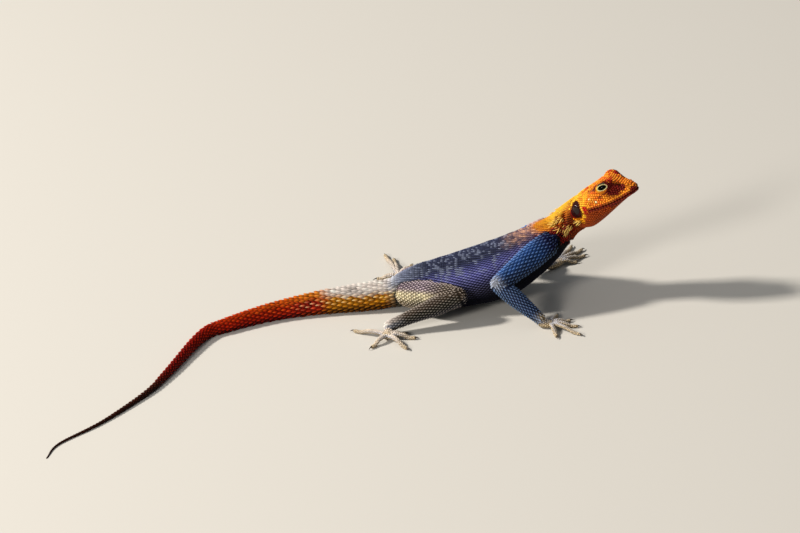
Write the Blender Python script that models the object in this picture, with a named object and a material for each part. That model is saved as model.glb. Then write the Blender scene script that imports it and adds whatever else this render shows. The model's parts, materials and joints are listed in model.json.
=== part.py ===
"""A rock agama lizard at life size, propped on its front legs with the tail curving behind it on the floor.

The model stands on z = 0 with its head towards +X. Its right side faces -Y. Lengths below are in millimetres.
"""

import math
import random

import bmesh
import bpy
from mathutils import Vector

MM = 0.001
GAP = 0.3  # clearance between pieces that meet
FLAT = 0.15  # how much of a rounded underside the floor plane takes off
ORIGIN_X = -25.15  # middle of the finished model's box, so that the box is centred on the origin
ORIGIN_Y = -27.25

# Stations of the tail, from its tip to the hips, where it lies on the floor
TAIL_PATH = [
    # x, y, half width, half height
    (-162.3, -112.8, 0.25, 0.25),
    (-157.1, -100.8, 0.48, 0.48),
    (-138.3, -85.0, 0.72, 0.72),
    (-118.7, -62.4, 1.15, 1.2),
    (-109.7, -46.8, 1.65, 1.75),
    (-93.1, -12.8, 2.4, 2.55),
    (-81.4, -5.0, 2.9, 3.1),
    (-60.0, 2.1, 3.7, 3.9),
    (-38.0, 3.8, 4.9, 5.0),
    (-18.0, 2.6, 6.0, 6.0),
]
# Stations of the hips, belly, chest and shoulders
TRUNK_PATH = [
    # x, y, z, half width, rise above that height, drop below it
    (-5.0, 1.2, 7.2, 6.5, 5.8, 6.1),
    (2.0, 0.4, 8.6, 9.0, 7.6, 7.9),
    (10.0, -0.6, 10.0, 12.2, 9.1, 9.6),
    (18.6, -1.6, 11.0, 14.6, 9.8, 11.15),
    (30.0, -3.2, 12.8, 16.4, 10.9, 11.8),
    (45.0, -5.5, 16.8, 16.4, 11.7, 13.4),
    (57.0, -7.4, 22.3, 14.0, 10.9, 12.0),
    (67.0, -9.0, 28.4, 11.2, 9.3, 9.8),
    (75.5, -9.9, 34.9, 8.8, 7.0, 7.2),
    (80.0, -10.3, 39.4, 8.4, 6.6, 7.3),
]

# The head is built along its own axis, which runs through the mouth line from the snout backwards
SNOUT = (111.4, -23.8, 57.2)
HEAD_PITCH = math.radians(24.5)
HEAD_YAW = math.radians(-26)
HEAD_LENGTH = 32.8
HEAD_STATIONS = [
    # back, crown, brow half width and height, side half width and height, lip, jaw, jaw edge and depth, throat
    (0.5, 2.3, 1.2, 2.0, 2.0, 1.2, 2.2, 2.0, 1.1, 1.2, 1.4),
    (2.2, 4.2, 2.3, 3.8, 3.3, 2.3, 3.9, 3.6, 2.3, 1.5, 1.7),
    (5.2, 5.8, 3.5, 5.6, 4.1, 3.6, 5.5, 5.2, 3.6, 1.9, 2.2),
    (8.0, 8.0, 5.2, 8.4, 5.3, 5.5, 6.9, 6.5, 4.8, 2.5, 3.0),
    (10.8, 9.6, 6.7, 9.7, 6.6, 6.8, 8.2, 7.8, 5.8, 3.3, 3.9),
    (15.3, 9.8, 6.8, 9.2, 8.1, 5.8, 9.8, 9.4, 7.0, 4.6, 5.4),
    (19.5, 9.2, 6.2, 8.2, 9.8, 4.7, 10.8, 10.4, 7.7, 5.8, 6.8),
    (23.4, 8.5, 6.0, 7.4, 10.4, 4.0, 11.2, 10.7, 7.9, 6.9, 8.0),
    (27.6, 7.6, 5.7, 6.4, 10.0, 3.2, 10.4, 9.9, 7.4, 7.6, 9.0),
    (32.8, 6.1, 5.2, 5.0, 8.8, 1.8, 9.0, 8.6, 6.4, 7.4, 9.4),
]
NECK_LIFT = 0.8  # height of the neck's middle above the head's axis, where they meet
NECK_SIZE = (8.6, 5.2, 9.6)  # half width, rise and drop there
EYE_BACK, EYE_OUT, EYE_UP = 12.3, 5.6, 7.1
EYE_RADIUS = 2.9
LID_THICKNESS = 0.5
LID_STRETCH = 1.12  # how much longer than high the dome of the lids is
LID_OPENING = (2.75, 1.55)  # half length and half height of the almond between the lids
LID_CUT = (0.8, 6.5)  # from and to this far out from the middle of the eye the lids are open
EAR_BACK, EAR_OUT, EAR_UP = 28.8, 10.5, 2.2
EAR_SIZE = (2.8, 1.9, 3.6)
NOSTRIL_BACK, NOSTRIL_OUT, NOSTRIL_UP = 2.4, 3.3, 3.3
NOSTRIL_RADIUS = 0.5
MOUTH_FRONT, MOUTH_BACK = 0.6, 21.4  # from the tip of the snout to the corner of the mouth
MOUTH_RISE = 0.8  # how far the mouth line climbs to its corner
MOUTH_DIP = 0.9  # how far it sags half way
MOUTH_HEIGHT, MOUTH_DEPTH = 0.4, 0.8
BLEND_BACK = 28.0  # behind this the head's section turns into the neck's

# Tufts of spiny scales on the sides of the neck and behind the ears
NECK_TUFTS = [
    # place along the spine, degrees below the side, spines
    (18.45, 6, 5),
    (18.95, 34, 4),
    (19.15, -20, 4),
]
EAR_TUFT = (31.0, -3.6, 4)  # back from the snout, up from the mouth line, spines
SPINE_LENGTH, SPINE_RADIUS, SPINE_ROOT = 2.0, 0.5, 0.7
SPINE_SPREAD = 1.3  # how far apart the spines of a tuft stand

# Toes: share of the length, height above the palm's middle (None on the floor), share of the toe's radius
DIGIT_ARCH = [(0.0, 0.0, 1.15), (0.25, 0.7, 1.0), (0.55, 0.3, 0.92), (0.8, None, 0.82), (1.0, None, 0.72)]
CLAW_LENGTH = 2.6  # what the claw adds to the toe
CLAW_ROOT = 0.7  # how deep the claw sits in the toe
CLAW_RINGS = [(0.0, 0.75, 0.5), (1.5, 0.95, 0.46), (2.6, 0.6, 0.3), (3.2, 0.22, 0.1)]  # along, height, radius

# Legs: joint centres, then the radii along each length
LEGS = {
    "front_right": {
        "joints": [(68.5, -17.5, 31.2), (44.5, -28.0, 19.0), (61.5, -38.5, 4.2)],
        "upper": [5.2, 5.2, 4.4, 3.5],
        "lower": [3.5, 3.8, 3.2, 2.3],
        "palm": (65.7, -39.2, 1.7),
        "digits": [(70.4, -27.2), (77.0, -35.6), (79.8, -43.8), (79.8, -53.4), (68.0, -53.4)],
        "digit_radius": 0.95,
    },
    "front_left": {
        "joints": [(69.5, -1.5, 31.2), (50.5, 16.0, 16.0), (69.5, 20.6, 4.2)],
        "upper": [5.2, 5.2, 4.4, 3.5],
        "lower": [3.5, 3.8, 3.2, 2.3],
        "palm": (74.4, 24.4, 1.7),
        "digits": [(85.4, 25.0), (89.4, 31.8), (88.2, 39.4), (83.0, 44.6), (71.6, 37.0)],
        "digit_radius": 0.95,
    },
    "hind_right": {
        "joints": [(3.5, -6.0, 9.2), (25.6, -24.2, 13.0), (-6.8, -28.2, 4.5)],
        "upper": [6.0, 6.2, 5.3, 4.1],
        "lower": [3.9, 3.9, 2.9, 2.35],
        "palm": (-8.2, -32.6, 1.9),
        "digits": [(2.6, -30.2), (6.4, -36.8), (1.2, -48.0), (-17.4, -42.4), (-25.0, -20.4)],
        "digit_radius": 1.05,
    },
    "hind_left": {
        "joints": [(4.5, 6.5, 9.2), (32.5, 17.6, 8.0), (0.8, 22.6, 4.5)],
        "upper": [6.0, 6.2, 5.3, 4.1],
        "lower": [3.9, 3.9, 2.9, 2.35],
        "palm": (-0.2, 28.8, 1.9),
        "digits": [(9.0, 34.0), (7.6, 43.6), (-1.6, 52.6), (-5.8, 58.4), (-12.4, 31.4)],
        "digit_radius": 1.05,
    },
}

COLOURS = {
    "head": (0.80, 0.25, 0.03),
    "neck": (0.82, 0.36, 0.06),
    "torso": (0.10, 0.10, 0.30),
    "tail_base": (0.72, 0.45, 0.12),
    "tail_root": (0.75, 0.20, 0.03),
    "tail_middle": (0.55, 0.06, 0.02),
    "tail_bend": (0.48, 0.05, 0.02),
    "tail_rear": (0.30, 0.07, 0.03),
    "tail_tip": (0.16, 0.07, 0.04),
    "eye": (0.03, 0.02, 0.02),
    "front_leg": (0.08, 0.15, 0.33),
    "hind_leg": (0.33, 0.31, 0.28),
    "foot": (0.66, 0.58, 0.44),
}


def material(name):
    """A scaly, dry skin colour, or the wet surface of the eye."""
    found = bpy.data.materials.get(name)
    if found:
        return found
    made = bpy.data.materials.new(name)
    made.use_nodes = True
    shader = made.node_tree.nodes["Principled BSDF"]
    shader.inputs["Base Color"].default_value = (*COLOURS[name], 1.0)
    shader.inputs["Roughness"].default_value = 0.12 if name == "eye" else 0.55
    shader.inputs["Metallic"].default_value = 0.0
    return made


def add_object(name, corners, faces, colour=None):
    """A mesh object from corners in millimetres, moved so that the model's box is centred."""
    mesh = bpy.data.meshes.new(name)
    shift = Vector((ORIGIN_X, ORIGIN_Y, 0.0))
    mesh.from_pydata([(Vector(corner) - shift) * MM for corner in corners], [], faces)
    work = bmesh.new()
    work.from_mesh(mesh)
    bmesh.ops.recalc_face_normals(work, faces=work.faces)
    work.to_mesh(mesh)
    work.free()
    made = bpy.data.objects.new(name, mesh)
    bpy.context.scene.collection.objects.link(made)
    if colour:
        mesh.materials.append(material(colour))
    return made


def spline(rows, share):
    """Catmull-Rom through rows of numbers; share is counted in rows, from 0 to the last one."""
    last = len(rows) - 1
    index = min(int(share), last - 1)
    t = share - index
    picked = [rows[min(max(index + k, 0), last)] for k in (-1, 0, 1, 2)]
    result = []
    for before, start, end, after in zip(*picked):
        slope_in = (end - before) / 2 if index > 0 else end - start
        slope_out = (after - start) / 2 if index < last - 1 else end - start
        a = 2 * t**3 - 3 * t**2 + 1
        b = t**3 - 2 * t**2 + t
        c = -2 * t**3 + 3 * t**2
        d = t**3 - t**2
        result.append(a * start + b * slope_in + c * end + d * slope_out)
    return result


def loft(name, rings, colour=None):
    """Closed tube through rings of equal count, with flat ends."""
    count = len(rings[0])
    corners = [point for ring in rings for point in ring]
    faces = [tuple(range(count)), tuple(range(len(corners) - count, len(corners)))]
    for r in range(len(rings) - 1):
        for k in range(count):
            a, b = r * count + k, r * count + (k + 1) % count
            faces.append((a, b, b + count, a + count))
    return add_object(name, corners, faces, colour)


def unit_power(value, power):
    return math.copysign(abs(value) ** (2 / power), value)


def oval_point(centre, side, up, half_width, rise, drop, angle, power=2.2):
    """Place on a rounded section: half_width to each side, rise above the centre and drop below it."""
    across = half_width * unit_power(math.cos(angle), power)
    height = unit_power(math.sin(angle), power)
    height *= rise if height > 0 else drop
    return centre + side * across + up * height


def oval_ring(centre, side, up, half_width, rise, drop, count, power=2.2):
    angles = [2 * math.pi * k / count for k in range(count)]
    return [oval_point(centre, side, up, half_width, rise, drop, angle, power) for angle in angles]


def head_axes():
    """Forward, left and up of the head."""
    forward = Vector(
        (
            math.cos(HEAD_PITCH) * math.cos(HEAD_YAW),
            math.cos(HEAD_PITCH) * math.sin(HEAD_YAW),
            math.sin(HEAD_PITCH),
        )
    )
    left = Vector((0, 0, 1)).cross(forward).normalized()
    return forward, left, forward.cross(left)


FORWARD, LEFT, UP = head_axes()


def head_point(back, out, up):
    """A place on the head: back from the snout, out to the left, and up from the mouth line."""
    return Vector(SNOUT) - FORWARD * back + LEFT * out + UP * up


def body_rows():
    """All spine stations from the tail tip to the back of the head."""
    rows = [(x, y, high - FLAT, wide, high, high) for x, y, wide, high in TAIL_PATH]
    rows += TRUNK_PATH
    nape = head_point(HEAD_LENGTH, 0.0, NECK_LIFT)
    rows.append((*nape, *NECK_SIZE))
    return rows


def body_station(share):
    """Centre, side and up directions, and the section sizes, at a place along the spine."""
    rows = body_rows()
    step = 0.05
    here = spline(rows, share)
    ahead = Vector(spline(rows, min(share + step, len(rows) - 1))[:3])
    behind = Vector(spline(rows, max(share - step, 0.0))[:3])
    tangent = (ahead - behind).normalized()
    turn = max(0.0, (share - (len(rows) - 3)) / 2)  # the neck turns into the head's own direction
    tangent = tangent.lerp(FORWARD, turn * turn * (3 - 2 * turn)).normalized()
    side = Vector((0, 0, 1)).cross(tangent).normalized()
    up = tangent.cross(side).normalized()
    return Vector(here[:3]), tangent, side, up, here[3:]


def body_rings(start, end, steps, count, grow=0.0):
    rings = []
    for k in range(steps + 1):
        centre, _, side, up, sizes = body_station(start + (end - start) * k / steps)
        wide, rise, drop = (size + grow for size in sizes)
        rings.append(oval_ring(centre, side, up, wide, rise, drop, count))
    return rings


def inset_ends(rings, first, last):
    """Pulls the end rings in along the tube, so that neighbouring lengths keep their gap."""
    for ring, inner, pull in ((rings[0], rings[1], first), (rings[-1], rings[-2], last)):
        middle = sum(ring, Vector()) / len(ring)
        inner_middle = sum(inner, Vector()) / len(inner)
        move = (inner_middle - middle).normalized() * pull
        for k, point in enumerate(ring):
            ring[k] = point + move


def body_length(name, start, end, steps, count, pulls=(GAP / 2, GAP / 2)):
    rings = body_rings(start, end, steps, count)
    inset_ends(rings, *pulls)
    return loft(name, rings, name)


def limb(name, start, end, radii, colour, count, grow=0.0, steps=6):
    """Rounded leg length with swelling muscles, from one joint to the next."""
    a, b = Vector(start), Vector(end)
    along = (b - a).normalized()
    side = along.cross(Vector((0, 0, 1))).normalized()
    up = side.cross(along)
    length = (b - a).length
    rows = [(radius,) for radius in radii]
    rings = []
    for angle in (80, 55, 28):
        reach = math.sin(math.radians(angle)) * (radii[0] + grow)
        size = math.cos(math.radians(angle)) * (radii[0] + grow)
        rings.append(oval_ring(a - along * reach, side, up, size, size, size, count, 2))
    for k in range(steps + 1):
        size = spline(rows, (len(rows) - 1) * k / steps)[0] + grow
        centre = a + along * (length * k / steps)
        rings.append(oval_ring(centre, side, up, size, size * 1.06, size * 1.06, count, 2))
    for angle in (28, 55, 80):
        reach = math.sin(math.radians(angle)) * (radii[-1] + grow)
        size = math.cos(math.radians(angle)) * (radii[-1] + grow)
        rings.append(oval_ring(b + along * reach, side, up, size, size, size, count, 2))
    return loft(name, rings, colour)


def ball(name, centre, radii, axes=None, segments=16, rows=10, colour=None):
    """Ellipsoid with its radii along three axes."""
    axes = axes or (Vector((1, 0, 0)), Vector((0, 1, 0)), Vector((0, 0, 1)))
    corners, faces = [], []
    for r in range(1, rows):
        polar = math.pi * r / rows
        for k in range(segments):
            angle = 2 * math.pi * k / segments
            local = (
                math.sin(polar) * math.cos(angle),
                math.sin(polar) * math.sin(angle),
                math.cos(polar),
            )
            offset = sum((axis * (size * at) for axis, size, at in zip(axes, radii, local)), Vector())
            corners.append(Vector(centre) + offset)
    corners.append(Vector(centre) + axes[2] * radii[2])
    corners.append(Vector(centre) - axes[2] * radii[2])
    top, bottom = len(corners) - 2, len(corners) - 1
    for r in range(rows - 2):
        for k in range(segments):
            a, b = r * segments + k, r * segments + (k + 1) % segments
            faces.append((a, b, b + segments, a + segments))
    for k in range(segments):
        faces.append((top, (k + 1) % segments, k))
        low = (rows - 2) * segments
        faces.append((bottom, low + k, low + (k + 1) % segments))
    return add_object(name, corners, faces, colour)


def floor_cutter():
    """Everything under the floor plane."""
    reach = 260.0
    corners = [
        (ORIGIN_X + x * reach, ORIGIN_Y + y * reach, z)
        for z in (-20.0, 0.0)
        for x, y in ((-1, -1), (1, -1), (1, 1), (-1, 1))
    ]
    faces = [(3, 2, 1, 0), (4, 5, 6, 7), (0, 1, 5, 4), (1, 2, 6, 5), (2, 3, 7, 6), (3, 0, 4, 7)]
    return add_object("floor_cutter", corners, faces)


def apply_modifiers(target):
    graph = bpy.context.evaluated_depsgraph_get()
    mesh = bpy.data.meshes.new_from_object(target.evaluated_get(graph))
    target.modifiers.clear()
    target.data = mesh


def join_pieces(base, pieces):
    """One Boolean union of the base with every piece; the pieces are removed afterwards."""
    group = bpy.data.collections.new(base.name + "_pieces")
    bpy.context.scene.collection.children.link(group)
    for piece in pieces:
        bpy.context.scene.collection.objects.unlink(piece)
        group.objects.link(piece)
    joint = base.modifiers.new("union", "BOOLEAN")
    joint.operation = "UNION"
    joint.operand_type = "COLLECTION"
    joint.collection = group
    joint.solver = "EXACT"
    apply_modifiers(base)
    for piece in pieces:
        bpy.data.objects.remove(piece)
    bpy.data.collections.remove(group)


def cut(base, cutters):
    for cutter in cutters:
        taken = base.modifiers.new("cut", "BOOLEAN")
        taken.operation = "DIFFERENCE"
        taken.object = cutter
        taken.solver = "EXACT"
    apply_modifiers(base)


def keep_largest(target):
    """Drops every loose scrap and sealed hollow that a union or a cut leaves."""
    work = bmesh.new()
    work.from_mesh(target.data)
    unseen = set(work.verts)
    shells = []
    while unseen:
        stack = [unseen.pop()]
        shell = set(stack)
        while stack:
            for edge in stack.pop().link_edges:
                for vert in edge.verts:
                    if vert in unseen:
                        unseen.remove(vert)
                        shell.add(vert)
                        stack.append(vert)
        shells.append(shell)
    shells.sort(key=len)
    for shell in shells[:-1]:
        bmesh.ops.delete(work, geom=list(shell), context="VERTS")
    work.to_mesh(target.data)
    work.free()


def shade(target):
    target.data.shade_smooth()
    target.data.set_sharp_from_angle(angle=math.radians(50))


def mouth_lift(back):
    """Height of the mouth line above the head's axis."""
    share = min(back / MOUTH_BACK, 1.0)
    return MOUTH_RISE * share - MOUTH_DIP * math.sin(math.pi * share)


def head_section(back):
    """Right-to-left outline of the head at a distance behind the snout, as (out, up) pairs."""
    rows = HEAD_STATIONS
    share = 0.0
    for k in range(len(rows) - 1):
        if rows[k][0] <= back <= rows[k + 1][0] + 1e-6:
            share = k + (back - rows[k][0]) / (rows[k + 1][0] - rows[k][0])
            break
    values = spline(rows, share)
    _, crown, brow, brow_up, side, side_up, lip, jaw, edge, depth, throat = values
    lift = mouth_lift(back)
    half = [
        (0.0, crown),
        (brow * 0.55, crown * 0.25 + brow_up * 0.75),
        (brow, brow_up),
        (side, side_up),
        (lip, 0.9 + lift),
        (lip * 0.99, 0.0 + lift),
        (jaw, -0.9 + lift),
        (edge * 0.55 + jaw * 0.45, -depth * 0.7),
        (edge * 0.8, -depth - 0.1),
        (edge * 0.35, -throat),
    ]
    left = half + [(0.0, -throat - 0.15)]
    right = [(-out, up) for out, up in reversed(half[1:])]
    return left + right


def smooth_outline(points, count):
    """Points spaced evenly along a closed Catmull-Rom outline, starting at its first point."""
    closed = [tuple(points[(k - 1) % len(points)]) for k in range(len(points) + 3)]
    fine = []
    per_side = 12
    for k in range(1, len(points) + 1):
        for s in range(per_side):
            fine.append(Vector(spline(closed, k + s / per_side)))
    lengths = [0.0]
    for a, b in zip(fine, fine[1:] + fine[:1]):
        lengths.append(lengths[-1] + (b - a).length)
    total = lengths[-1]
    result, at = [], 0
    for k in range(count):
        goal = total * k / count
        while lengths[at + 1] < goal:
            at += 1
        share = (goal - lengths[at]) / (lengths[at + 1] - lengths[at])
        result.append(fine[at].lerp(fine[(at + 1) % len(fine)], share))
    return result


def nape_outline(count):
    """Section of the neck where it meets the head, as (out, up) pairs from the crown round to the left."""
    centre, _, side, up, sizes = body_station(len(body_rows()) - 1)
    ring = oval_ring(centre, side, up, *sizes, count=4 * count)
    middle = head_point(HEAD_LENGTH, 0.0, 0.0)
    flat = [((point - middle).dot(LEFT), (point - middle).dot(UP)) for point in ring]
    start = max(range(len(flat)), key=lambda k: flat[k][1])
    turned = [flat[(start - k) % len(flat)] for k in range(len(flat))]
    if turned[count][0] < 0:
        turned = [turned[0]] + turned[:0:-1]
    return smooth_outline([turned[k] for k in range(0, len(turned), 4)], count)


def head_outline(back, rear, count):
    """Section of the head at a distance behind the snout; near the neck it turns into the rear outline."""
    weight = max(0.0, (back - BLEND_BACK) / (HEAD_LENGTH - BLEND_BACK))
    weight = weight * weight * (3 - 2 * weight)
    outline = smooth_outline(head_section(back), count)
    return [point.lerp(target, weight) for point, target in zip(outline, rear)]


def head_rings(count, steps):
    """Sections from the snout to the neck, closer together towards the snout, with a rounded tip."""
    rings = []
    rear = nape_outline(count)
    first = HEAD_STATIONS[0][0]
    for k in range(steps + 1):
        share = k / steps
        back = first + (HEAD_LENGTH - first) * (0.45 * share**2 + 0.55 * share)
        rings.append([head_point(back, point.x, point.y) for point in head_outline(back, rear, count)])
    foremost = rings[0]
    middle = sum(foremost, Vector()) / count
    for shrink, ahead in ((0.8, 0.45), (0.4, 0.72)):
        rings.insert(0, [middle.lerp(point, shrink) + FORWARD * ahead for point in foremost])
    return rings


def spine(name, place, direction, length):
    """Spiny scale: a cone that bends towards the tail, with its root sunk in."""
    direction = direction.normalized()
    side = direction.cross(Vector((0, 0, 1))).normalized()
    up = side.cross(direction)
    count = 5
    corners = []
    for along, size in ((-SPINE_ROOT, 1.0), (length * 0.5, 0.72)):
        radius = SPINE_RADIUS * size
        corners += oval_ring(place + direction * along, side, up, radius, radius, radius, count, 2)
    corners.append(place + direction * length - up * (0.12 * length))
    tip = len(corners) - 1
    faces = [tuple(range(count))]
    for k in range(count):
        after = (k + 1) % count
        faces.append((k, after, after + count, k + count))
        faces.append((k + count, after + count, tip))
    return add_object(name, corners, faces)


def tuft(name, place, outward, backward, count, draw):
    """A few spiny scales close together, leaning backwards and spread like a small fan."""
    across = outward.cross(backward).normalized()
    spines = []
    for k in range(count):
        turn = 2 * math.pi * k / count + draw.uniform(-0.3, 0.3)
        spread = SPINE_SPREAD * draw.uniform(0.55, 0.85)
        offset = across * (math.cos(turn) * spread) + backward * (math.sin(turn) * spread)
        direction = outward * 0.85 + backward * 0.5 + across * (math.cos(turn) * 0.25)
        length = SPINE_LENGTH * draw.uniform(0.75, 1.1)
        spines.append(spine(f"{name}_{k}", place + offset, direction, length))
    return spines


def neck_tufts(draw):
    spines = []
    for sign in (-1, 1):
        for place, degrees, count in NECK_TUFTS:
            centre, tangent, side, up, sizes = body_station(place)
            angle = math.radians(-degrees if sign > 0 else 180 + degrees)
            point = oval_point(centre, side, up, *sizes, angle=angle)
            outward = (point - centre).normalized()
            spines += tuft("neck_spine", point - outward * 0.2, outward, -tangent, count, draw)
    return spines


def ear_tufts(draw):
    spines = []
    back, up, count = EAR_TUFT
    rear = nape_outline(120)
    left_half = [point for point in head_outline(back, rear, 120) if point.x > 0]
    out = min(left_half, key=lambda point: abs(point.y - up)).x
    for sign in (-1, 1):
        outward = (LEFT * (sign * 0.95) - UP * 0.2).normalized()
        place = head_point(back, out * sign, up) - outward * 0.2
        spines += tuft("ear_spine", place, outward, -FORWARD, count, draw)
    return spines


def mouth_cutter():
    """Thin band just inside the lips, from one corner of the mouth round the snout to the other."""
    steps = 10
    backs = [MOUTH_FRONT + (MOUTH_BACK - MOUTH_FRONT) * (k / steps) ** 1.3 for k in range(steps + 1)]
    side = [(back, max(out for out, up in head_section(back) if abs(up) < 2.2)) for back in backs]
    path = [(back, -out) for back, out in reversed(side)] + side
    corners, faces = [], []
    for k, (back, out) in enumerate(path):
        lift = mouth_lift(back)
        before, after = path[max(k - 1, 0)], path[min(k + 1, len(path) - 1)]
        along = Vector((after[0] - before[0], after[1] - before[1])).normalized()
        outward = Vector((along.y, -along.x))
        if outward.y * out < 0 or (abs(out) < 3 and outward.x > 0):
            outward = -outward
        for reach in (1.2, -MOUTH_DEPTH):
            place = Vector((back, out)) + outward * reach
            for high in (-MOUTH_HEIGHT / 2, MOUTH_HEIGHT / 2):
                corners.append(head_point(place.x, place.y, lift + high))
    for k in range(len(path) - 1):
        a = 4 * k
        for i, j in ((0, 1), (1, 3), (3, 2), (2, 0)):
            faces.append((a + i, a + j, a + 4 + j, a + 4 + i))
    end = len(corners) - 4
    faces += [(0, 1, 3, 2), (end, end + 2, end + 3, end + 1)]
    return add_object("mouth_cutter", corners, faces)


def eye_axes(sign):
    """Outward, forward and upward directions of an eye."""
    outward = (LEFT * sign * 0.93 + FORWARD * 0.25 + UP * 0.27).normalized()
    forward = (FORWARD - outward * FORWARD.dot(outward)).normalized()
    return forward, outward.cross(forward) * sign, outward


def lid_opening(name, centre, axes):
    """Almond-shaped plug that opens the lids."""
    forward, up, outward = axes
    count = 16
    rings = []
    for depth in LID_CUT:
        ring = []
        for k in range(count):
            angle = 2 * math.pi * k / count
            ring.append(
                centre
                + outward * depth
                + forward * LID_OPENING[0] * math.cos(angle)
                + up * LID_OPENING[1] * math.copysign(abs(math.sin(angle)) ** 1.25, math.sin(angle))
            )
        rings.append(ring)
    return loft(name, rings)


def make_head(draw):
    """Head with lids, ear pits, nostrils, the line of the mouth and spiny tufts, and the two eyes."""
    rings = head_rings(36, 22)
    inset_ends(rings, 0.0, GAP / 2)
    head = loft("head", rings, "head")
    added, cutters = ear_tufts(draw), [mouth_cutter()]
    for name, sign in (("right", -1), ("left", 1)):
        axes = eye_axes(sign)
        centre = head_point(EYE_BACK, EYE_OUT * sign, EYE_UP)
        lid_radius = EYE_RADIUS + GAP + LID_THICKNESS
        added.append(ball("lid_" + name, centre, (lid_radius * LID_STRETCH, lid_radius, lid_radius), axes))
        socket = EYE_RADIUS + GAP
        cutters.append(ball("socket_" + name, centre, (socket,) * 3, axes, 18, 11))
        cutters.append(lid_opening("opening_" + name, centre, axes))
        ear = head_point(EAR_BACK, EAR_OUT * sign, EAR_UP)
        lean = (UP * 0.85 + FORWARD * 0.5).normalized()
        across = lean.cross(LEFT).normalized()
        cutters.append(ball("ear_" + name, ear, EAR_SIZE, (across, LEFT, lean), 14, 8))
        nostril = head_point(NOSTRIL_BACK, NOSTRIL_OUT * sign, NOSTRIL_UP)
        cutters.append(ball("nostril_" + name, nostril, (NOSTRIL_RADIUS,) * 3, None, 10, 6))
        ball("eye_" + name, centre, (EYE_RADIUS,) * 3, axes, 14, 9, "eye")
    join_pieces(head, added)
    cut(head, cutters)
    for cutter in cutters:
        bpy.data.objects.remove(cutter)
    keep_largest(head)


def digit(name, root, tip, radius, count=6):
    """Toe that arches from the palm to its pad, with a curved claw."""
    root = Vector(root)
    ahead = Vector((tip[0] - root.x, tip[1] - root.y, 0.0))
    length = ahead.length
    ahead.normalize()
    side = Vector((0, 0, 1)).cross(ahead)
    low = radius - FLAT
    places = [(at, low if rise is None else root.z + rise, size) for at, rise, size in DIGIT_ARCH]
    toe_length = length - CLAW_LENGTH
    rings = []
    steps = 7
    for k in range(steps + 1):
        along, height, size = spline(places, (len(places) - 1) * k / steps)
        centre = root + ahead * (toe_length * along)
        centre.z = max(height, radius * size - FLAT)
        rings.append(
            oval_ring(centre, side, Vector((0, 0, 1)), radius * size, radius * size, radius * size, count, 2)
        )
    toe = loft(name, rings)
    base = root + ahead * (toe_length - CLAW_ROOT)
    claw_rings = []
    for along, height, size in CLAW_RINGS:
        centre = base + ahead * along
        centre.z = height
        claw_rings.append(oval_ring(centre, side, Vector((0, 0, 1)), size * 0.8, size, size, 5, 2))
    return toe, loft(name + "_claw", claw_rings)


def make_leg(name, leg, body_cutter, floor):
    shoulder, elbow, wrist = leg["joints"]
    kind = "front_leg" if name.startswith("front") else "hind_leg"
    words = ("upper_arm", "forearm", "hand") if kind == "front_leg" else ("thigh", "shank", "foot")
    side = name.split("_")[1]
    upper = limb(f"{words[0]}_{side}", shoulder, elbow, leg["upper"], kind, 16)
    lower = limb(f"{words[1]}_{side}", elbow, wrist, leg["lower"], kind, 14)
    upper_cutter = limb("upper_cutter", shoulder, elbow, leg["upper"], None, 16, GAP)
    lower_cutter = limb("lower_cutter", elbow, wrist, leg["lower"], None, 14, GAP)
    cut(upper, [body_cutter])
    cut(lower, [body_cutter, upper_cutter])
    keep_largest(upper)
    keep_largest(lower)

    palm_middle = Vector(leg["palm"])
    heel = Vector(wrist)
    heel.z = palm_middle.z
    reach = (palm_middle - heel).length
    ahead = (palm_middle - heel).normalized()
    radius = leg["digit_radius"]
    across = Vector((0, 0, 1)).cross(ahead)
    middle = heel.lerp(palm_middle, 0.62)
    foot = ball(
        f"{words[2]}_{side}",
        middle,
        (reach * 0.6 + 1.4, radius * 2.7, palm_middle.z + FLAT),
        (ahead, across, Vector((0, 0, 1))),
        16,
        8,
        "foot",
    )
    ankle = limb("ankle", wrist, tuple(heel.lerp(palm_middle, 0.4)), [leg["lower"][-1]] * 2, None, 10)
    pieces = [ankle]
    for k, tip in enumerate(leg["digits"]):
        spread = (Vector((*tip, palm_middle.z)) - palm_middle).normalized()
        root = palm_middle + spread * (radius * 0.9)
        pieces.extend(digit(f"digit_{k}", root, tip, radius))
    join_pieces(foot, pieces)
    cut(foot, [lower_cutter, body_cutter, floor])
    keep_largest(foot)
    for cutter in (upper_cutter, lower_cutter):
        bpy.data.objects.remove(cutter)


def make_body(floor, draw):
    """Tail in six lengths, torso, and neck with its spiny tufts."""
    neck = body_length("neck", 17.6, len(body_rows()) - 1.0, 6, 28)
    join_pieces(neck, neck_tufts(draw))
    lengths = [
        body_length("tail_tip", 0.0, 2.0, 12, 8, (0.0, GAP / 2)),
        body_length("tail_rear", 2.0, 4.3, 11, 12),
        body_length("tail_bend", 4.3, 5.7, 8, 14),
        body_length("tail_middle", 5.7, 7.0, 7, 14),
        body_length("tail_root", 7.0, 8.6, 10, 18),
        body_length("tail_base", 8.6, 10.4, 8, 22),
        body_length("torso", 10.4, 17.6, 20, 28),
    ]
    for piece in [*lengths, neck]:
        cut(piece, [floor])
        keep_largest(piece)


def main():
    for old in list(bpy.data.objects):
        bpy.data.objects.remove(old)
    draw = random.Random(11)
    floor = floor_cutter()
    make_body(floor, draw)
    make_head(draw)
    end = float(len(body_rows()) - 1)
    body_cutter = loft("body_cutter", body_rings(7.0, end, 50, 30, GAP))
    for name, leg in LEGS.items():
        make_leg(name, leg, body_cutter, floor)
    for cutter in (floor, body_cutter):
        bpy.data.objects.remove(cutter)
    for piece in bpy.data.objects:
        shade(piece)


main()
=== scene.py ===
import json
import math
import random

import bpy
import numpy as np
from mathutils import Matrix, Vector, noise
from mathutils.bvhtree import BVHTree

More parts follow.
